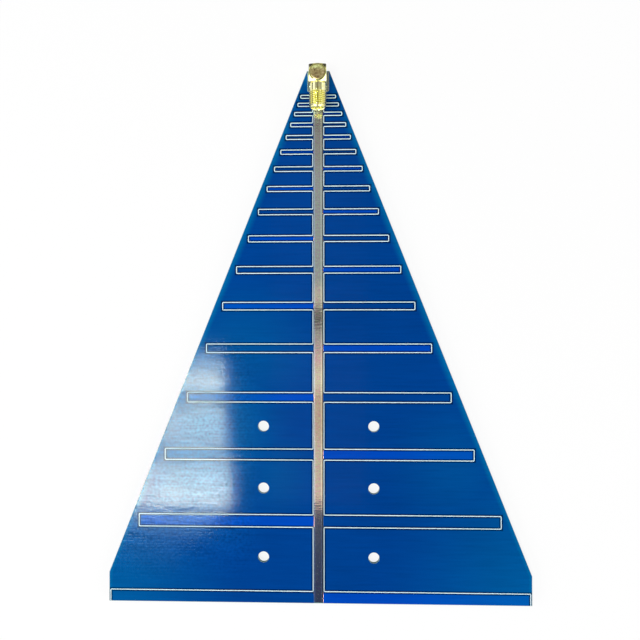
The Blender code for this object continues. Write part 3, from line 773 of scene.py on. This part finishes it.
def barrel_mesh(jack):
    """The barrel with a real right-hand thread, its lead-in and its bore."""
    thread_from = NECK_LENGTH - (THREAD_RADIUS - NECK_RADIUS)
    thread_length = BARREL_LENGTH - NECK_LENGTH
    count = math.ceil(thread_length / jack.thread_pitch * STEPS_A_THREAD)
    threaded = [(THREAD_RADIUS, NECK_LENGTH + thread_length * i / count) for i in range(count)]
    lead_from = BARREL_LENGTH - THREAD_LEAD_LENGTH
    lead_fall = (THREAD_RADIUS - THREAD_LEAD_RADIUS) / THREAD_LEAD_LENGTH

    def point_at(radius, angle, along):
        if radius != THREAD_RADIUS:
            return about_barrel(radius, angle, along)
        turn = (along / jack.thread_pitch - angle / math.tau) % 1
        flank = min(max((abs(2 * turn - 1) - THREAD_ROOT_SHARE) / THREAD_FLANKS_SHARE, 0), 1)
        cut = THREAD_RADIUS - thread_depth_at(along, jack) * (1 - flank)
        lead = THREAD_RADIUS - max(along - lead_from, 0) * lead_fall
        return about_barrel(min(cut, lead), angle, along)

    stations = [
        (BARREL_BORE_RADIUS, -SPIGOT_LENGTH),
        (SPIGOT_RADIUS, -SPIGOT_LENGTH),
        (SPIGOT_RADIUS, 0),
        (NECK_RADIUS - 0.00004, 0),
        (NECK_RADIUS, 0.00005),
        (NECK_RADIUS, thread_from - 0.0001),
        (NECK_RADIUS, thread_from),
    ]
    stations += threaded
    stations += [
        (THREAD_LEAD_RADIUS + 0.00002, BARREL_LENGTH - 0.00003),
        (THREAD_LEAD_RADIUS - 0.00003, BARREL_LENGTH),
        (MOUTH_RADIUS + 0.0001, BARREL_LENGTH),
        (MOUTH_RADIUS + 0.00003, BARREL_LENGTH - 0.00004),
        (MOUTH_RADIUS, BARREL_LENGTH - 0.00012),
        (MOUTH_RADIUS, BARREL_LENGTH - MOUTH_DEPTH),
        (BARREL_BORE_RADIUS, BARREL_LENGTH - MOUTH_DEPTH),
    ]
    bm = bmesh.new()
    joined(bm, turned_rows(bm, stations, BARREL_SEGMENTS, point_at), loop=True)
    return bm


def square_radius(angle):
    """From the axis to the square block's outline with rounded edges."""
    turn = (angle + math.pi / 4) % (math.pi / 2) - math.pi / 4
    flat = BLOCK_HALF / math.cos(turn)
    corner = BLOCK_HALF - BLOCK_EDGE_RADIUS
    x = flat * math.cos(turn)
    y = abs(flat * math.sin(turn))
    if y <= corner:
        return flat
    lean = math.pi / 4 - abs(turn)
    reach = corner * math.sqrt(2)
    return reach * math.cos(lean) + math.sqrt(max(BLOCK_EDGE_RADIUS**2 - (reach * math.sin(lean)) ** 2, 0))


def block_mesh():
    """The square block below its turned, sloping top, with the cap's seat and the four leads."""
    quarters = [math.pi / 2 * quarter + math.pi / 4 for quarter in range(4)]
    near_corners = [math.radians(offset) for offset in (-4.6, -3.4, -2.2, -1.1, 1.1, 2.2, 3.4, 4.6)]
    angles = {math.tau * turn / BLOCK_SEGMENTS for turn in range(BLOCK_SEGMENTS)}
    angles |= {quarter + offset for quarter in quarters for offset in near_corners}
    fall = math.tan(BLOCK_TOP_SLOPE)
    seat = CAP_RADIUS + 0.00002

    def profile_at(reach):
        """(radius, height) up the block where its outline is this far out, and down the cap's seat."""
        shoulder = BLOCK_HEIGHT - max(reach - BLOCK_TOP_RADIUS, 0) * fall
        return (
            (reach - 0.00006, 0),
            (reach, 0.00006),
            (reach, shoulder - 0.00007),
            (reach - 0.00003, shoulder - 0.00001),
            (min(reach, BLOCK_TOP_RADIUS + 0.00005), BLOCK_HEIGHT - 0.00004),
            (BLOCK_TOP_RADIUS - 0.00006, BLOCK_HEIGHT),
            (seat + 0.00006, BLOCK_HEIGHT),
            (seat, BLOCK_HEIGHT - 0.00006),
            (seat, BLOCK_HEIGHT - CAP_THICKNESS),
        )

    bm = bmesh.new()
    columns = []
    for angle in sorted({round(angle, 6) for angle in angles}):
        profile = profile_at(square_radius(angle))
        columns.append([bm.verts.new(about_block(radius, angle, up)) for radius, up in profile])
    capped(bm, list(zip(*columns)))
    for x, y in lead_places():
        add_lead(bm, x, y, LEAD_DIAMETER / 2)
    return bm


def add_lead(bm, x, y, radius):
    """An upright lead from inside the block to a sheared tip at z = 0."""
    tip = ((radius, 0.00012), (radius * 0.94, 0.00004), (radius * 0.82, 0.0))
    stations = ((radius, JACK_Z + 0.0003), *tip)

    def point_at(reach, angle, z):
        lean = 0.00002 * (1 + math.cos(angle)) if z < 0.00005 else 0
        return (x + reach * math.cos(angle), y + reach * math.sin(angle), z + lean)

    capped(bm, turned_rows(bm, stations, LEAD_SEGMENTS, point_at))


def cap_mesh(jack):
    """The pressed cap: a rounded rim and a shallow, uneven dish."""
    flat = CAP_RADIUS - 0.00025
    stations = [
        (CAP_RADIUS, CAP_LOW.z - JACK_Z),
        (CAP_RADIUS, BLOCK_HEIGHT - 0.00012),
        (CAP_RADIUS - 0.00003, BLOCK_HEIGHT - 0.00004),
        (CAP_RADIUS - 0.00012, BLOCK_HEIGHT - 0.000005),
        (flat, BLOCK_HEIGHT - 0.00001),
    ]
    for index in range(1, CAP_RINGS):
        share = 1 - index / CAP_RINGS
        stations.append((flat * share, BLOCK_HEIGHT - 0.00001 - jack.cap_dish * (1 - share**2)))

    def point_at(reach, angle, up):
        x, y, z = about_block(reach, angle, up)
        if reach < flat:
            dent = noise.noise(Vector((x, y, 0)) * 900) + 0.6 * noise.noise(Vector((x, y, 5)) * 2100)
            z += min(dent, 0.2) * 0.00002
        return (x, y, min(z, CAP_HIGH.z))

    bm = bmesh.new()
    capped(bm, turned_rows(bm, stations, CAP_SEGMENTS, point_at))
    return bm


# Stage


def stage_piece(name, corners, material):
    """A flat stage panel with these corners."""
    mesh = bpy.data.meshes.new(name)
    mesh.from_pydata(corners, [], [tuple(range(len(corners)))])
    mesh.materials.append(material)
    panel = bpy.data.objects.new(name, mesh)
    bpy.context.scene.collection.objects.link(panel)
    return panel


def reflected_panel(name, corners, material):
    """A panel that only shows in gloss, as the dark and pale boards round a product do."""
    panel = stage_piece(name, corners, material)
    for kind in ("camera", "diffuse", "transmission", "shadow"):
        setattr(panel, f"visible_{kind}", False)


def glow_material(name, colour):
    """One even colour, whatever light falls on it."""
    finish = Finish(name)
    finish.show(finish.node("Emission", inputs={0: colour, 1: 1.0}))
    finish.material.cycles.emission_sampling = "NONE"
    return finish.material


# The window as it shows in gloss: its outline, its brightness at places along y, and its tints
WINDOW_CORNERS = (
    (-0.42, -0.05),
    (-0.42, -0.47),
    (-0.3, -0.47),
    (-0.3, -0.43),
    (-0.25, -0.4),
    (-0.22, -0.36),
    (-0.202, -0.35),
    (-0.202, -0.262),
    (-0.21, -0.235),
    (-0.214, -0.13),
    (-0.214, -0.05),
)
WINDOW_BRIGHTNESS = (
    (-0.05, 0.16),
    (-0.062, 0.42),
    (-0.085, 0.72),
    (-0.098, 0.84),
    (-0.104, 1.55),
    (-0.124, 1.7),
    (-0.128, 0.33),
    (-0.149, 0.33),
    (-0.153, 0.94),
    (-0.234, 0.88),
    (-0.239, 0.42),
    (-0.259, 0.44),
    (-0.264, 0.97),
    (-0.3, 1.0),
    (-0.315, 1.4),
    (-0.342, 1.45),
    (-0.352, 0.4),
    (-0.375, 0.28),
    (-0.4, 0.09),
    (-0.43, 0.03),
    (-0.47, 0.01),
)
WINDOW_HEIGHT = 1.0
WINDOW_DIM_TINT = (0.4, 1, 1.35)
WINDOW_BRIGHT_TINT = (0.9, 1, 0.82)

# Lamps: centre, size, aim, and radiance where no setting gives it. Side lamps: way, share
WINDOW_LAMP = ((-0.31, -0.2, WINDOW_HEIGHT), (0.245, 0.29), (0, 0, 0))
SIDE_LAMPS = (("left_box", LEFT, 1.15), ("right_box", RIGHT, 0.8))
FILL_LAMPS = (
    ("near_box", (0.36, -0.42, 0.3), (0.2, 0.2), (0.06, -0.08, 0), 1.2),
    ("top_box", (0, 0.1, 1.6), (1.2, 1.2), (0, 0, 0), 0.6),
    ("under_box", (0, 0, -0.8), (1.2, 1.2), (0, 0, 0), 1.2),
)

# Panels overhead: x from and to, y from and to, height, colour
CEILING_PANELS = (
    ("dark_ceiling", (-0.5, 0.45, -0.56, 0.26, 1.02), (0.05, 0.05, 0.06)),
    ("thread_ceiling", (-0.24, 0.16, 0.26, 0.455, 1.018), (0.1, 0.08, 0.03)),
    ("brown_ceiling", (-0.22, 0.22, 0.455, 0.95, 1.02), (0.25, 0.235, 0.215)),
    ("grey_panel", (-0.125, 0.055, 0.07, 0.3, 1.01), (0.42, 0.47, 0.46)),
    ("far_grey_panel", (-0.125, 0.055, 0.3, 0.388, 1.01), (0.36, 0.37, 0.35)),
    ("pale_panel", (-0.125, 0.055, 0.028, 0.068, 1.01), (0.75, 0.7, 0.58)),
    ("mauve_panel", (-0.125, 0.055, -0.045, -0.005, 1.01), (0.44, 0.42, 0.4)),
    ("pink_panel", (-0.125, 0.055, -0.088, -0.046, 1.01), (0.8, 0.58, 0.52)),
    ("cream_panel", (-0.125, 0.055, -0.13, -0.09, 1.01), (0.96, 0.86, 0.66)),
    ("brown_panel", (-0.125, 0.055, -0.215, -0.132, 1.01), (0.63, 0.46, 0.34)),
    ("tan_panel", (-0.125, 0.055, -0.31, -0.216, 1.01), (0.73, 0.6, 0.47)),
    ("rose_panel", (-0.125, 0.055, -0.345, -0.31, 1.01), (0.94, 0.7, 0.58)),
    ("dark_panel", (-0.18, 0.12, -1.2, -0.35, 1.005), (0.035, 0.05, 0.13)),
)
NECK_BAND_HEIGHT = 1.02
NECK_BAND_STEPS = 12
NECK_BAND_COLOUR = (0.2, 0.185, 0.17)

# Upright panels at both sides: x, y from and to, height from and to, colour
WALL_PANELS = (
    ("left_low", (-1.1, 0.2, 2.4, 0.0, 0.4), (0.06, 0.07, 0.03)),
    ("left_wall", (-1.1, 0.42, 2.0, 0.4, 1.1), (1.35, 1.4, 1.5)),
    ("left_near", (-1.1, -2.4, 0.42, 0.5, 2.5), (2.3, 2.45, 2.8)),
    ("right_wall", (1.1, 0.42, 2.0, 0.0, 0.58), (1.2, 1.25, 1.35)),
    ("right_near", (1.1, -2.4, 0.42, 0.5, 2.5), (2.3, 2.45, 2.8)),
    ("right_high", (1.1, 0.42, 2.0, 0.58, 1.1), (0.18, 0.2, 0.16)),
)

# Upright panels beyond the jack: x from and to, colour
BACK_Y = 1.3
BACK_LOW = -0.1
BACK_HIGH = 1.0
BACK_PANELS = (
    ("back_left", -2.2, -0.45, (0.03, 0.03, 0.03)),
    ("back_middle", -0.45, 0.45, (0.5, 0.5, 0.36)),
    ("back_right", 0.45, 2.2, (0.03, 0.03, 0.03)),
)


def window_material(stage):
    """Panes that are brighter in some places and darker behind their bars."""
    black = (0, 0, 0, 1)
    radiance = stage.pane_radiance
    finish = Finish("window_panes", base_color=black, specular_ior_level=0, emission_strength=radiance)
    y = finish.axes(finish.place())[1]
    brightness = 0.0
    for (y_high, share), (y_low, following) in zip(WINDOW_BRIGHTNESS, WINDOW_BRIGHTNESS[1:]):
        here = (y < y_high) * (y > y_low)
        slope = (following - share) / (y_low - y_high)
        brightness = here * (share + (y - y_high) * slope) + brightness
    colour = finish.mix(brightness.smooth(-0.3, 1.1), WINDOW_DIM_TINT, WINDOW_BRIGHT_TINT)
    finish.feed(Emission_Color=finish.tinted(colour, brightness))
    return finish.material


def flat_corners(x_low, x_high, y_low, y_high, z):
    return [(x_low, y_low, z), (x_high, y_low, z), (x_high, y_high, z), (x_low, y_high, z)]


def wall_corners(x, y_low, y_high, z_low, z_high):
    return [(x, y_low, z_low), (x, y_high, z_low), (x, y_high, z_high), (x, y_low, z_high)]


def neck_band(x_low, x_high, y_low, y_high):
    """A curved strip overhead that shows in the turned barrel from y_low to y_high."""
    eye_y, eye_z = CAMERA_PLACE[1:]
    top = BARREL_Z + NECK_RADIUS
    steps = range(NECK_BAND_STEPS + 1)
    corners = []
    for y, order in ((y_low, steps), (y_high, reversed(steps))):
        slope = (y - eye_y) / (eye_z - top)
        for step in order:
            x = x_low + (x_high - x_low) * step / NECK_BAND_STEPS
            corners.append((x, y + slope * math.hypot(x, NECK_BAND_HEIGHT - top), NECK_BAND_HEIGHT))
    return corners


def softbox(name, centre, size, aim, radiance):
    """An area lamp that doesn't show in gloss. Its face has this radiance, where 1 is white."""
    lamp = bpy.data.lights.new(name, "AREA")
    lamp.shape = "RECTANGLE"
    lamp.size, lamp.size_y = size
    lamp.energy = math.pi * size[0] * size[1] * radiance
    box = bpy.data.objects.new(name, lamp)
    box.location = centre
    box.rotation_euler = (Vector(aim) - Vector(centre)).to_track_quat("-Z", "Y").to_euler()
    box.visible_camera = False
    box.visible_glossy = False
    bpy.context.scene.collection.objects.link(box)


def floor_material(stage):
    """A pale floor that stays white to the eye and in gloss, keeps shadows, and is clear from below."""
    finish = Finish("floor")
    place = finish.place()
    by_camera = finish.ray("Camera")
    shade = 0.98 + finish.grain(place, 3.0) * 0.04
    paper = finish.node("BsdfDiffuse", inputs={0: finish.tinted(stage.floor_colour, shade)})
    white = finish.node("Emission", inputs={0: (1, 1, 1), 1: 1.0})
    seen = (by_camera + finish.ray("Glossy") + finish.ray("Transmission")).least(1.0)
    near = finish.node("VectorMath", {"operation": "LENGTH"}, {0: place}, "Value").smooth(0.4, 0.16)
    face = finish.node("MixShader", inputs={0: seen * (1 - near * stage.shadow_share), 1: paper, 2: white})
    below = finish.node("NewGeometry", output="Backfacing")
    clear = finish.node("BsdfTransparent")
    through = (finish.ray("Shadow") + by_camera * below).least(1.0)
    finish.show(finish.node("MixShader", inputs={0: through, 1: face, 2: clear}))
    return finish.material


def sky(stage):
    """A world that lights softly and shows white."""
    world = bpy.data.worlds.new("studio")
    world.use_nodes = True
    bpy.context.scene.world = world
    nodes = Nodes(world.node_tree)
    seen = nodes.ray("Camera").most(nodes.ray("Glossy")).most(nodes.ray("Transmission"))
    background = nodes.tree.nodes["Background"]
    nodes.join(background.inputs["Color"], (1, 1, 1))
    nodes.join(background.inputs["Strength"], stage.sky_strength + seen * (1 - stage.sky_strength))


def camera(stage):
    """The photograph's view, straight down with slight tilts."""
    data = bpy.data.cameras.new("camera")
    data.lens = stage.focal_length
    data.sensor_width = SENSOR_WIDTH
    data.clip_start = 0.01
    data.clip_end = 50.0
    view = bpy.data.objects.new("camera", data)
    turns = [Matrix.Rotation(math.radians(angle), 3, axis) for angle, axis in zip(CAMERA_TILTS, "XYZ")]
    tilt = turns[2] @ turns[1] @ turns[0]
    view.matrix_world = Matrix.Translation(CAMERA_PLACE) @ tilt.transposed().to_4x4()
    bpy.context.scene.collection.objects.link(view)
    bpy.context.scene.camera = view


# Settings


def colour_setting(name, description, default):
    return FloatVectorProperty(
        name=name, description=description, subtype="COLOR", size=3, min=0, max=1, default=default
    )


def length_setting(name, description, default):
    return FloatProperty(
        name=name, description=description, unit="LENGTH", precision=6, min=0, default=default
    )


def share_setting(name, description, default):
    return FloatProperty(
        name=name, description=description, subtype="FACTOR", min=0, max=1, default=default
    )


def strength_setting(name, description, default):
    return FloatProperty(name=name, description=description, min=0, default=default)


class BoardSettings(bpy.types.PropertyGroup):
    """The board's core, copper, lacquer and print."""

    lacquer_colour: colour_setting("Lacquer", "Lacquer over the bare core", (0.0, 0.0525, 0.28))
    near_copper_colour: colour_setting(
        "Over copper", "Lacquer over its own face's copper", (0.0, 0.067, 0.51)
    )
    far_copper_colour: colour_setting(
        "Over far copper", "Lacquer over the other face's copper", (0.0, 0.053, 0.285)
    )
    # Painted light: the colour the lacquer is painted along the board's sides and in broad patches
    glow_colour: colour_setting(
        "Edge glow", "Lacquer near the board's edges, lit through the core", (0.0, 0.145, 0.38)
    )
    glow_width: length_setting("Glow width", "How far the edge glow reaches", 0.0032)
    print_shadow: share_setting("Print shadow", "How much darker the lacquer is beside the print", 0.66)
    edge_shadow: share_setting("Edge shadow", "How much darker the lacquer is at the feed's edge", 0.75)
    # Painted reflection: how strongly the glare's crinkle pattern is painted into the lacquer's colour
    painted_glare_shade: share_setting("Crinkles", "How strongly the lacquer's crinkles vary its shade", 0.75)
    coat_weight: share_setting("Gloss", "How strong the lacquer's clear gloss is", 0.035)
    coat_unevenness: share_setting("Uneven gloss", "How much the clear gloss varies", 0.09)
    weft_pitch: length_setting("Weft pitch", "Spacing of the glass cloth's weft", 0.0011)
    warp_pitch: length_setting("Warp pitch", "Spacing of the glass cloth's warp", 0.00058)
    weave_height: length_setting("Weave height", "Relief of the cloth in the lacquer", 0.0000013)
    peel_height: length_setting("Peel height", "Relief of the lacquer's orange peel", 0.000014)
    print_colour: colour_setting("Print", "Screen print", (0.73, 0.93, 1.0))
    laminate_colour: colour_setting("Core", "Glass-fibre core at its edges", (0.15, 0.27, 0.27))
    copper_colour: colour_setting("Copper", "Clean copper foil", (0.82, 0.42, 0.25))
    stained_copper_colour: colour_setting("Stained copper", "Stained copper foil", (0.5, 0.2, 0.12))


class SolderSettings(bpy.types.PropertyGroup):
    """The tinned strips, the feed pad and the joints."""

    solder_colour: colour_setting("Solder", "Bright solder", (0.68, 0.67, 0.64))
    oxide_colour: colour_setting("Oxide", "Thin oxide on the solder", (0.6, 0.57, 0.54))
    tarnish_colour: colour_setting("Tarnish", "Rosy specks on the solder", (0.68, 0.54, 0.62))
    greenish_colour: colour_setting("Flux", "Greenish specks on the solder", (0.6, 0.72, 0.56))
    pad_colour: colour_setting("Pad", "Tint of the feed pad", (0.52, 0.66, 0.64))
    pad_share: share_setting("Pad tint", "How strong the feed pad's tint is", 0.6)
    # Painted highlights: the pale colours painted along the pad's left edge and the strip's edges
    pad_edge_highlight_colour: colour_setting("Pad edge", "Left edge of the feed pad", (0.7, 1.0, 1.0))
    left_highlight_colour: colour_setting("Left margin", "Left edge of the strip", (0.68, 0.76, 0.95))
    right_highlight_colour: colour_setting("Right margin", "Band along the strip's right", (0.9, 0.95, 0.88))
    crown: length_setting("Crown", "How far the strip swells above the copper", 0.000015)
    ripple_height: length_setting("Ripple height", "Relief of the fine ripples", 0.000007)


class JackSettings(bpy.types.PropertyGroup):
    """The coaxial jack."""

    gold_colour: colour_setting("Gold", "Bright gold plate", (0.95, 0.9, 0.5))
    worn_gold_colour: colour_setting("Worn gold", "Duller gold plate", (0.86, 0.78, 0.3))
    # Painted shade: the darker colour painted into the thread's roots
    root_shade_colour: colour_setting("Thread root", "Dull gold in the thread's roots", (0.72, 0.66, 0.09))
    cap_colour: colour_setting("Cap", "Dull gold of the cap", (0.6, 0.58, 0.22))
    cap_pale_colour: colour_setting("Pale cap", "Pale spots of the cap", (0.85, 0.86, 0.45))
    # Painted shade: the darker tint painted over the cap's near half
    cap_near_shade_colour: colour_setting("Lower cap", "Tint of the cap's near half", (0.68, 0.53, 0.57))
    cap_purple_colour: colour_setting("Purple cap", "Purple-brown spots of the cap", (0.45, 0.34, 0.2))
    insulator_colour: colour_setting("Insulator", "White fluoropolymer", (0.88, 0.88, 0.84))
    thread_pitch: length_setting("Thread pitch", "36 turns to the inch", 0.0007056)
    thread_depth: length_setting("Thread depth", "From crest to root", 0.00041)
    tool_mark_height: length_setting("Tool marks", "Relief of the machining lines", 0.0000015)
    cap_dish: length_setting("Cap dish", "How far the cap's middle is pressed in", 0.00008)


class StageSettings(bpy.types.PropertyGroup):
    """Camera, lamps, floor and sky."""

    focal_length: FloatProperty(
        name="Focal length",
        description="Camera lens in millimetres",
        subtype="DISTANCE_CAMERA",
        min=1,
        default=37.2375,
    )
    window_radiance: strength_setting("Window", "Brightness of the window lamp", 14.0)
    pane_radiance: strength_setting("Panes", "Brightness of the window's panes in gloss", 147.0)
    side_radiance: strength_setting("Side boxes", "Brightness of the two side lamps", 2.4)
    sky_strength: strength_setting("Sky", "Light from all round", 0.3)
    shadow_share: share_setting("Shadow", "How strongly the floor shows shadows", 0.14)
    floor_colour: colour_setting("Floor", "Pale floor", (0.98, 0.98, 0.98))


class AntennaSettings(bpy.types.PropertyGroup):
    """All the settings of the antenna and its stage."""

    board: PointerProperty(name="Board", description="Board settings", type=BoardSettings)
    solder: PointerProperty(name="Solder", description="Solder settings", type=SolderSettings)
    jack: PointerProperty(name="Jack", description="Jack settings", type=JackSettings)
    stage: PointerProperty(name="Stage", description="Stage settings", type=StageSettings)


# Operators


class ANTENNA_OT_stage(bpy.types.Operator):
    """Set up the camera, the floor, the lamps and the sky"""

    bl_idname = "antenna.stage"
    bl_label = "Stage"

    def execute(self, context):
        stage = context.scene.antenna.stage
        context.scene.view_settings.view_transform = "Standard"
        camera(stage)
        sky(stage)
        stage_piece("floor", flat_corners(-4, 4, -4, 4, 0), floor_material(stage))
        self.place_lamps(stage)
        self.place_panels()
        return {"FINISHED"}

    def place_lamps(self, stage):
        panes = [(x, y, WINDOW_HEIGHT) for x, y in WINDOW_CORNERS]
        reflected_panel("window_panes", panes, window_material(stage))
        softbox("window", *WINDOW_LAMP, stage.window_radiance)
        for name, way, share in SIDE_LAMPS:
            softbox(name, (way * 1.1, -0.2, 0.55), (1.5, 0.7), (0, 0.02, 0), stage.side_radiance * share)
        for lamp in FILL_LAMPS:
            softbox(*lamp)

    def place_panels(self):
        neck = neck_band(-0.95, 1.09, BARREL_FRONT - NECK_LENGTH - 0.007, BARREL_FRONT + 0.02)
        panels = [(name, flat_corners(*extent), colour) for name, extent, colour in CEILING_PANELS]
        panels.append(("neck_ceiling", neck, NECK_BAND_COLOUR))
        panels += [(name, wall_corners(*extent), colour) for name, extent, colour in WALL_PANELS]
        for name, x_low, x_high, colour in BACK_PANELS:
            low = [(x, BACK_Y, BACK_LOW) for x in (x_low, x_high)]
            high = [(x, BACK_Y, BACK_HIGH) for x in (x_high, x_low)]
            panels.append((name, low + high, colour))
        for name, corners, colour in panels:
            reflected_panel(name, corners, glow_material(name, colour))


class ANTENNA_OT_board(bpy.types.Operator):
    """Finish the board's core, copper and lacquer"""

    bl_idname = "antenna.board"
    bl_label = "Board"

    def execute(self, context):
        looks = context.scene.antenna.board
        dress(laminate_finish(looks), "laminate")
        copper = copper_finish(looks)
        dress(copper, "front_copper", "rear_copper", *[f"lead_pad_{n}" for n in range(1, 5)])
        dress(lacquer_finish("front_lacquer", looks, FRONT), "front_mask_left", "front_mask_right")
        dress(lacquer_finish("rear_lacquer", looks, REAR), "rear_mask")
        return {"FINISHED"}


class ANTENNA_OT_print(bpy.types.Operator):
    """Lay the white lines round the arms on both faces"""

    bl_idname = "antenna.print"
    bl_label = "Print"

    def execute(self, context):
        material = print_finish(context.scene.antenna.board)
        for face_name, face in (("front", FRONT), ("rear", REAR)):
            for side_name, way in (("left", LEFT), ("right", RIGHT)):
                print_line(f"{face_name}_print_{side_name}", way, face, material)
        return {"FINISHED"}


class ANTENNA_OT_solder(bpy.types.Operator):
    """Lay the tinned strips, the feed pad and the joints under the leads"""

    bl_idname = "antenna.solder"
    bl_label = "Solder"

    def execute(self, context):
        looks = context.scene.antenna.solder
        material = solder_finish(looks)
        bm = bmesh.new()
        low = COAT_LOW.y
        crowned_strip(bm, front_half_width, low, PAD_LOW + 0.0006, FRONT, COAT_LOW.z, looks.crown)
        feed_pad(bm)
        add_piece("front_tinning", bm, material, ["front_solder_coat"])
        bm = bmesh.new()
        base = REAR_COAT_HIGH.z
        high = REAR_COAT_HIGH.y - 0.00001
        crowned_strip(bm, rear_half_width, REAR_COAT_LOW.y, high, REAR, base, looks.crown)
        add_piece("rear_tinning", bm, material, ["rear_solder_coat"])
        bm = bmesh.new()
        radius = LEAD_DIAMETER / 2
        for place in lead_places():
            solder_joint(bm, place, CORE_LOW.z - COPPER, LEAD_PAD_DIAMETER / 2, radius)
        pin = (0.0, JACK_Y)
        solder_joint(bm, pin, REAR_COAT_LOW.z, REAR_FEED_HALF_WIDTH, radius)
        joints = [f"lead_solder_{n}" for n in range(1, 5)] + ["pin_solder"]
        add_piece("solder_joints", bm, material, joints)
        return {"FINISHED"}


class ANTENNA_OT_jack_body(bpy.types.Operator):
    """Build the jack's block, its leads and its cap"""

    bl_idname = "antenna.jack_body"
    bl_label = "Jack body"

    def execute(self, context):
        looks = context.scene.antenna.jack
        gold = gold_finish("gold_plate", looks)
        add_piece("jack_block", block_mesh(), gold, ["connector_block"], sharp=30)
        add_piece("pressed_cap", cap_mesh(looks), cap_finish(looks), ["access_cap"])
        return {"FINISHED"}


class ANTENNA_OT_jack_barrel(bpy.types.Operator):
    """Build the threaded barrel and finish what it holds"""

    bl_idname = "antenna.jack_barrel"
    bl_label = "Jack barrel"

    def execute(self, context):
        looks = context.scene.antenna.jack
        gold = gold_finish("turned_gold", looks, turned_about_barrel=True)
        add_piece("jack_barrel", barrel_mesh(looks), gold, ["threaded_barrel"], sharp=35)
        dress(gold, "centre_contact", "centre_pin")
        dress(insulator_finish(looks), "barrel_insulator", "pin_insulator")
        return {"FINISHED"}


OPERATORS = (
    ANTENNA_OT_stage,
    ANTENNA_OT_board,
    ANTENNA_OT_print,
    ANTENNA_OT_solder,
    ANTENNA_OT_jack_body,
    ANTENNA_OT_jack_barrel,
)
GROUPS = (BoardSettings, SolderSettings, JackSettings, StageSettings)


class ANTENNA_PT_panel(bpy.types.Panel):
    """The antenna's settings and operators"""

    bl_idname = "ANTENNA_PT_panel"
    bl_label = "Log periodic antenna"
    bl_space_type = "VIEW_3D"
    bl_region_type = "UI"
    bl_category = "Antenna"

    def draw(self, context):
        layout = self.layout
        settings = context.scene.antenna
        for group in (settings.board, settings.solder, settings.jack, settings.stage):
            box = layout.box()
            for name in group.__annotations__:
                box.prop(group, name)
        for operator in OPERATORS:
            layout.operator(operator.bl_idname)


CLASSES = (*GROUPS, AntennaSettings, *OPERATORS, ANTENNA_PT_panel)


def register():
    for kind in CLASSES:
        bpy.utils.register_class(kind)
    bpy.types.Scene.antenna = PointerProperty(type=AntennaSettings)


def unregister():
    del bpy.types.Scene.antenna
    for kind in reversed(CLASSES):
        bpy.utils.unregister_class(kind)


def main():
    register()
    for operator in OPERATORS:
        getattr(bpy.ops.antenna, operator.bl_idname.split(".")[1])()
    bpy.context.view_layer.update()


if __name__ == "__main__":
    main()
